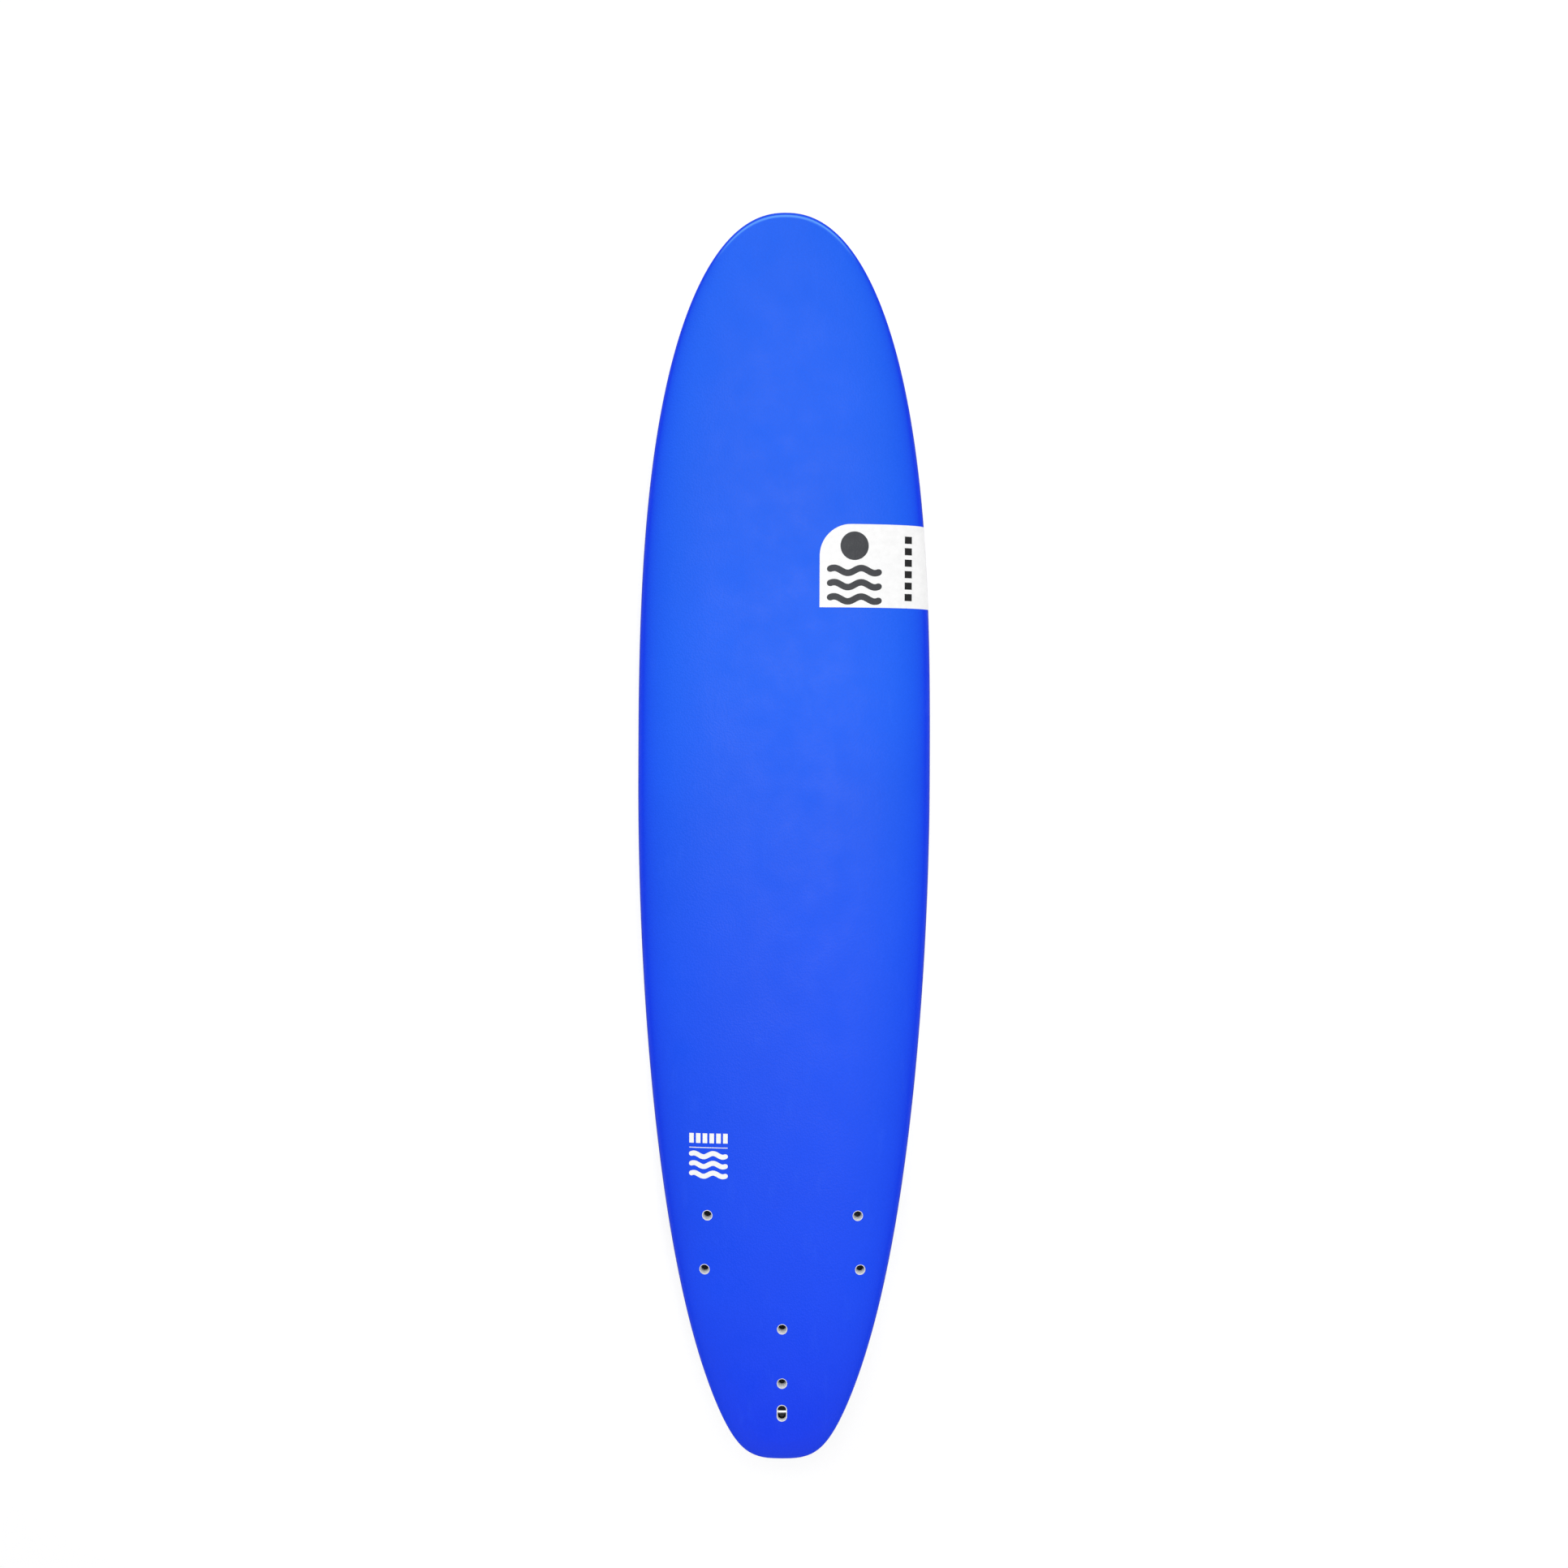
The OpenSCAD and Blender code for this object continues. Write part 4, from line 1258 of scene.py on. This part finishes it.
def studio():
    """A pale floor, two rest blocks, soft light from above and a camera over the board."""
    lie = Lie()
    scene = bpy.context.scene
    scene.view_settings.view_transform = "Standard"

    floor = bmesh.new()
    bmesh.ops.create_grid(floor, x_segments=8, y_segments=8, size=FLOOR_HALF)
    m = Material("matt_studio_floor", IOR=1.45, Roughness=0.75, Specular_IOR_Level=0.2)
    m.paint(Base_Color=m.tone(m.speckle(0.8), 0.3, 0.7, linear("#bcbcbd"), linear("#c2c2c3")))
    m.paint(Emission_Color=(1, 1, 1, 1), Emission_Strength=FLOOR_GLOW)
    m.emboss(m.speckle(3 * MM), 0.05 * MM)
    piece("studio_floor", floor, m.made, Matrix.Translation((0, 0, -REST_HEIGHT)))
    rest_blocks(lie)

    camera = placed("camera", bpy.data.cameras.new("camera"), scene)
    camera.data.lens = CAMERA_LENS
    camera.data.sensor_width = 36
    camera.data.clip_end = CAMERA_FAR
    camera.matrix_world = lie.at(CAMERA_AT) @ Matrix.Rotation(CAMERA_ROLL, 4, "Z")
    scene.camera = camera

    world = bpy.data.worlds.new("studio")
    scene.world = world
    world.use_nodes = True
    sky = Nodes(world.node_tree)
    way = sky.add("ShaderNodeTexCoord").outputs["Generated"]
    height = sky.add("ShaderNodeSeparateXYZ", {0: way}).outputs["Z"]
    light = sky.ramp(height, [(at, (grey, grey, grey, 1)) for at, grey in SKY])
    seen = sky.add("ShaderNodeLightPath").outputs["Is Camera Ray"]
    shown = sky.add("ShaderNodeBackground", {"Color": sky.blend(seen, light, BACKDROP), "Strength": 1.0})
    sky.add("ShaderNodeOutputWorld", {"Surface": shown.outputs[0]})

    for name, at, size, power in SOFTBOXES:
        light = bpy.data.lights.new(name, "AREA")
        light.shape = "RECTANGLE"
        light.size, light.size_y = size
        light.energy = power
        placed(name, light, scene).location = at
    window = bpy.data.lights.new("window_light", "SUN")
    window.energy = WINDOW_POWER
    window.angle = WINDOW_ANGLE
    lamp = placed("window_light", window, scene)
    lamp.rotation_euler = Vector(WINDOW_WAY).to_track_quat("-Z", "Y").to_euler()


def rest_blocks(lie):
    """Two pale foam blocks under the belly, which keep the fins off the floor."""
    shape = lie.shape
    material = moulded_plastic("cut_rest_foam", linear("#ececec"), 0.7, 0.85, "#e6e6e6")
    for n, y in enumerate(BLOCKS_AT):
        block = bmesh.new()
        bmesh.ops.create_cube(block, size=1)
        bmesh.ops.scale(block, vec=BLOCK_SIZE, verts=block.verts)
        edges = [e for e in block.edges if abs((e.verts[0].co - e.verts[1].co).normalized().z) > 0.5]
        bmesh.ops.bevel(
            block, geom=edges, offset=BLOCK_ROUND, segments=5, profile=0.5, affect="EDGES", material=-1
        )
        for v in block.verts:
            under = lie.matrix @ Vector((v.co.x, y + v.co.y, shape.bottom_z(y + v.co.y)))
            floor = Vector((under.x, (lie.matrix @ Vector((0, y, 0))).y + v.co.y, -REST_HEIGHT))
            v.co = under if v.co.z > 0 else floor
        piece(f"rest_block_{n}", block, material)


# ---- Settings, operators and panel ----
def distance(name, description, default):
    return bpy.props.FloatProperty(name=name, description=description, default=default, unit="LENGTH")


def share(name, description, default):
    return bpy.props.FloatProperty(
        name=name, description=description, default=default, min=0, max=1, subtype="FACTOR"
    )


def colour(name, description, hex_value):
    return bpy.props.FloatVectorProperty(
        name=name, description=description, default=linear(hex_value), min=0, max=1, size=4, subtype="COLOR"
    )


class SurfboardSizes(bpy.types.PropertyGroup):
    length: distance("Length", "From the tail end to the nose, along the board", 2.286)
    width: distance("Width", "Greatest width", 0.545)
    thickness: distance("Thickness", "Greatest thickness, at the centre line", 0.082)
    nose_thickness: distance("Nose thickness", "Thickness at the nose end", 0.024)
    tail_thickness: distance("Tail thickness", "Thickness at the tail end", 0.030)
    nose_rocker: distance("Nose rocker", "Lift of the bottom at the nose", 0.115)
    tail_rocker: distance("Tail rocker", "Lift of the bottom at the tail", 0.048)
    wide_at: share("Wide point", "Place of the greatest width, as a share of the length", 0.545)
    thick_at: share("Thick point", "Place of the greatest thickness, as a share of the length", 0.52)
    low_at: share("Low point", "Place of the lowest point, as a share of the length", 0.46)
    rail_height: share("Rail height", "Height of the rail line, as a share of the thickness", 0.42)
    rim_radius: distance("Plug rim radius", "Radius of a plug's rim on the deck", 0.0095)
    rim_proud: distance("Rim height", "How far the plug rims stand above the deck", 0.0005)
    mouth_flare: distance("Mouth flare", "How much wider a plug's recess is at its mouth", 0.0018)
    slot_flare: distance("Slot flare", "How much wider the leash slot is at its mouth", 0.0008)
    emboss_depth: distance("Emboss depth", "Depth of the pebbled texture of the soft skin", 0.0004)
    lip_height: distance("Nose lip height", "Height of the heat-sealed lip round the nose", 0.0012)
    lip_inset: distance("Nose lip inset", "Distance of the lip from the nose's edge", 0.0075)
    lip_width: distance("Nose lip width", "Half width of the lip", 0.0035)


class SurfboardColours(bpy.types.PropertyGroup):
    # the deck colour is darkened by painted shade towards the tail and over the rails
    deck: colour("Deck", "Soft deck, before the shades towards its tail and rails", "#0a62f6")
    # the nose lip colour is a painted highlight
    lip: colour("Nose lip", "Heat-sealed lip at the nose", "#5aa0ff")
    bottom: colour("Bottom", "Slick bottom sheet", "#eef0f2")
    plug: colour("Plugs", "Fin plugs and leash cup", "#f6f7fa")
    panel: colour("Panel", "Printed panel", "#fafafa")
    motif: colour("Motif", "Printed sun and waves", "#3a3c40")
    fin: colour("Fins", "Moulded fins", "#17181b")


class SURFBOARD_OT_deck(bpy.types.Operator):
    """Makes the soft deck skin, which wraps over the rails"""

    bl_idname = "surfboard.deck"
    bl_label = "Deck skin"

    def execute(self, context):
        deck_skin()
        return {"FINISHED"}


class SURFBOARD_OT_bottom(bpy.types.Operator):
    """Makes the slick bottom sheet"""

    bl_idname = "surfboard.bottom"
    bl_label = "Bottom sheet"

    def execute(self, context):
        bottom_skin()
        return {"FINISHED"}


class SURFBOARD_OT_plugs(bpy.types.Operator):
    """Makes the fin plugs with their washers and bolts"""

    bl_idname = "surfboard.plugs"
    bl_label = "Fin plugs and bolts"

    def execute(self, context):
        plug_parts()
        return {"FINISHED"}


class SURFBOARD_OT_leash(bpy.types.Operator):
    """Makes the leash cup and its bar"""

    bl_idname = "surfboard.leash"
    bl_label = "Leash plug"

    def execute(self, context):
        leash_plug()
        return {"FINISHED"}


class SURFBOARD_OT_fins(bpy.types.Operator):
    """Makes the three fins"""

    bl_idname = "surfboard.fins"
    bl_label = "Fins"

    def execute(self, context):
        fins()
        return {"FINISHED"}


class SURFBOARD_OT_layers(bpy.types.Operator):
    """Finishes the blank, stringers and laminates inside the board"""

    bl_idname = "surfboard.layers"
    bl_label = "Inner layers"

    def execute(self, context):
        inner_layers()
        return {"FINISHED"}


class SURFBOARD_OT_prints(bpy.types.Operator):
    """Prints the panel and the marks on the deck"""

    bl_idname = "surfboard.prints"
    bl_label = "Printed marks"

    def execute(self, context):
        printed_marks()
        return {"FINISHED"}


class SURFBOARD_OT_stage(bpy.types.Operator):
    """Sets up the floor, the light and the camera"""

    bl_idname = "surfboard.stage"
    bl_label = "Stage"

    def execute(self, context):
        studio()
        return {"FINISHED"}


OPERATORS = [
    SURFBOARD_OT_deck,
    SURFBOARD_OT_bottom,
    SURFBOARD_OT_plugs,
    SURFBOARD_OT_leash,
    SURFBOARD_OT_fins,
    SURFBOARD_OT_layers,
    SURFBOARD_OT_prints,
    SURFBOARD_OT_stage,
]


class SURFBOARD_PT_panel(bpy.types.Panel):
    """Lists the sizes, the colours and the pieces"""

    bl_idname = "SURFBOARD_PT_panel"
    bl_label = "Surfboard"
    bl_space_type = "VIEW_3D"
    bl_region_type = "UI"
    bl_category = "Surfboard"

    def draw(self, context):
        for group in (context.scene.surfboard_sizes, context.scene.surfboard_colours):
            box = self.layout.box()
            for key in group.__annotations__:
                box.prop(group, key)
        for operator in OPERATORS:
            self.layout.operator(operator.bl_idname)


CLASSES = [SurfboardSizes, SurfboardColours, *OPERATORS, SURFBOARD_PT_panel]


def register():
    for cls in CLASSES:
        bpy.utils.register_class(cls)
    bpy.types.Scene.surfboard_sizes = bpy.props.PointerProperty(type=SurfboardSizes)
    bpy.types.Scene.surfboard_colours = bpy.props.PointerProperty(type=SurfboardColours)


def unregister():
    del bpy.types.Scene.surfboard_colours
    del bpy.types.Scene.surfboard_sizes
    for cls in reversed(CLASSES):
        bpy.utils.unregister_class(cls)


def main():
    register()
    for operator in OPERATORS:
        getattr(bpy.ops.surfboard, operator.bl_idname.split(".")[1])()


if __name__ == "__main__":
    main()
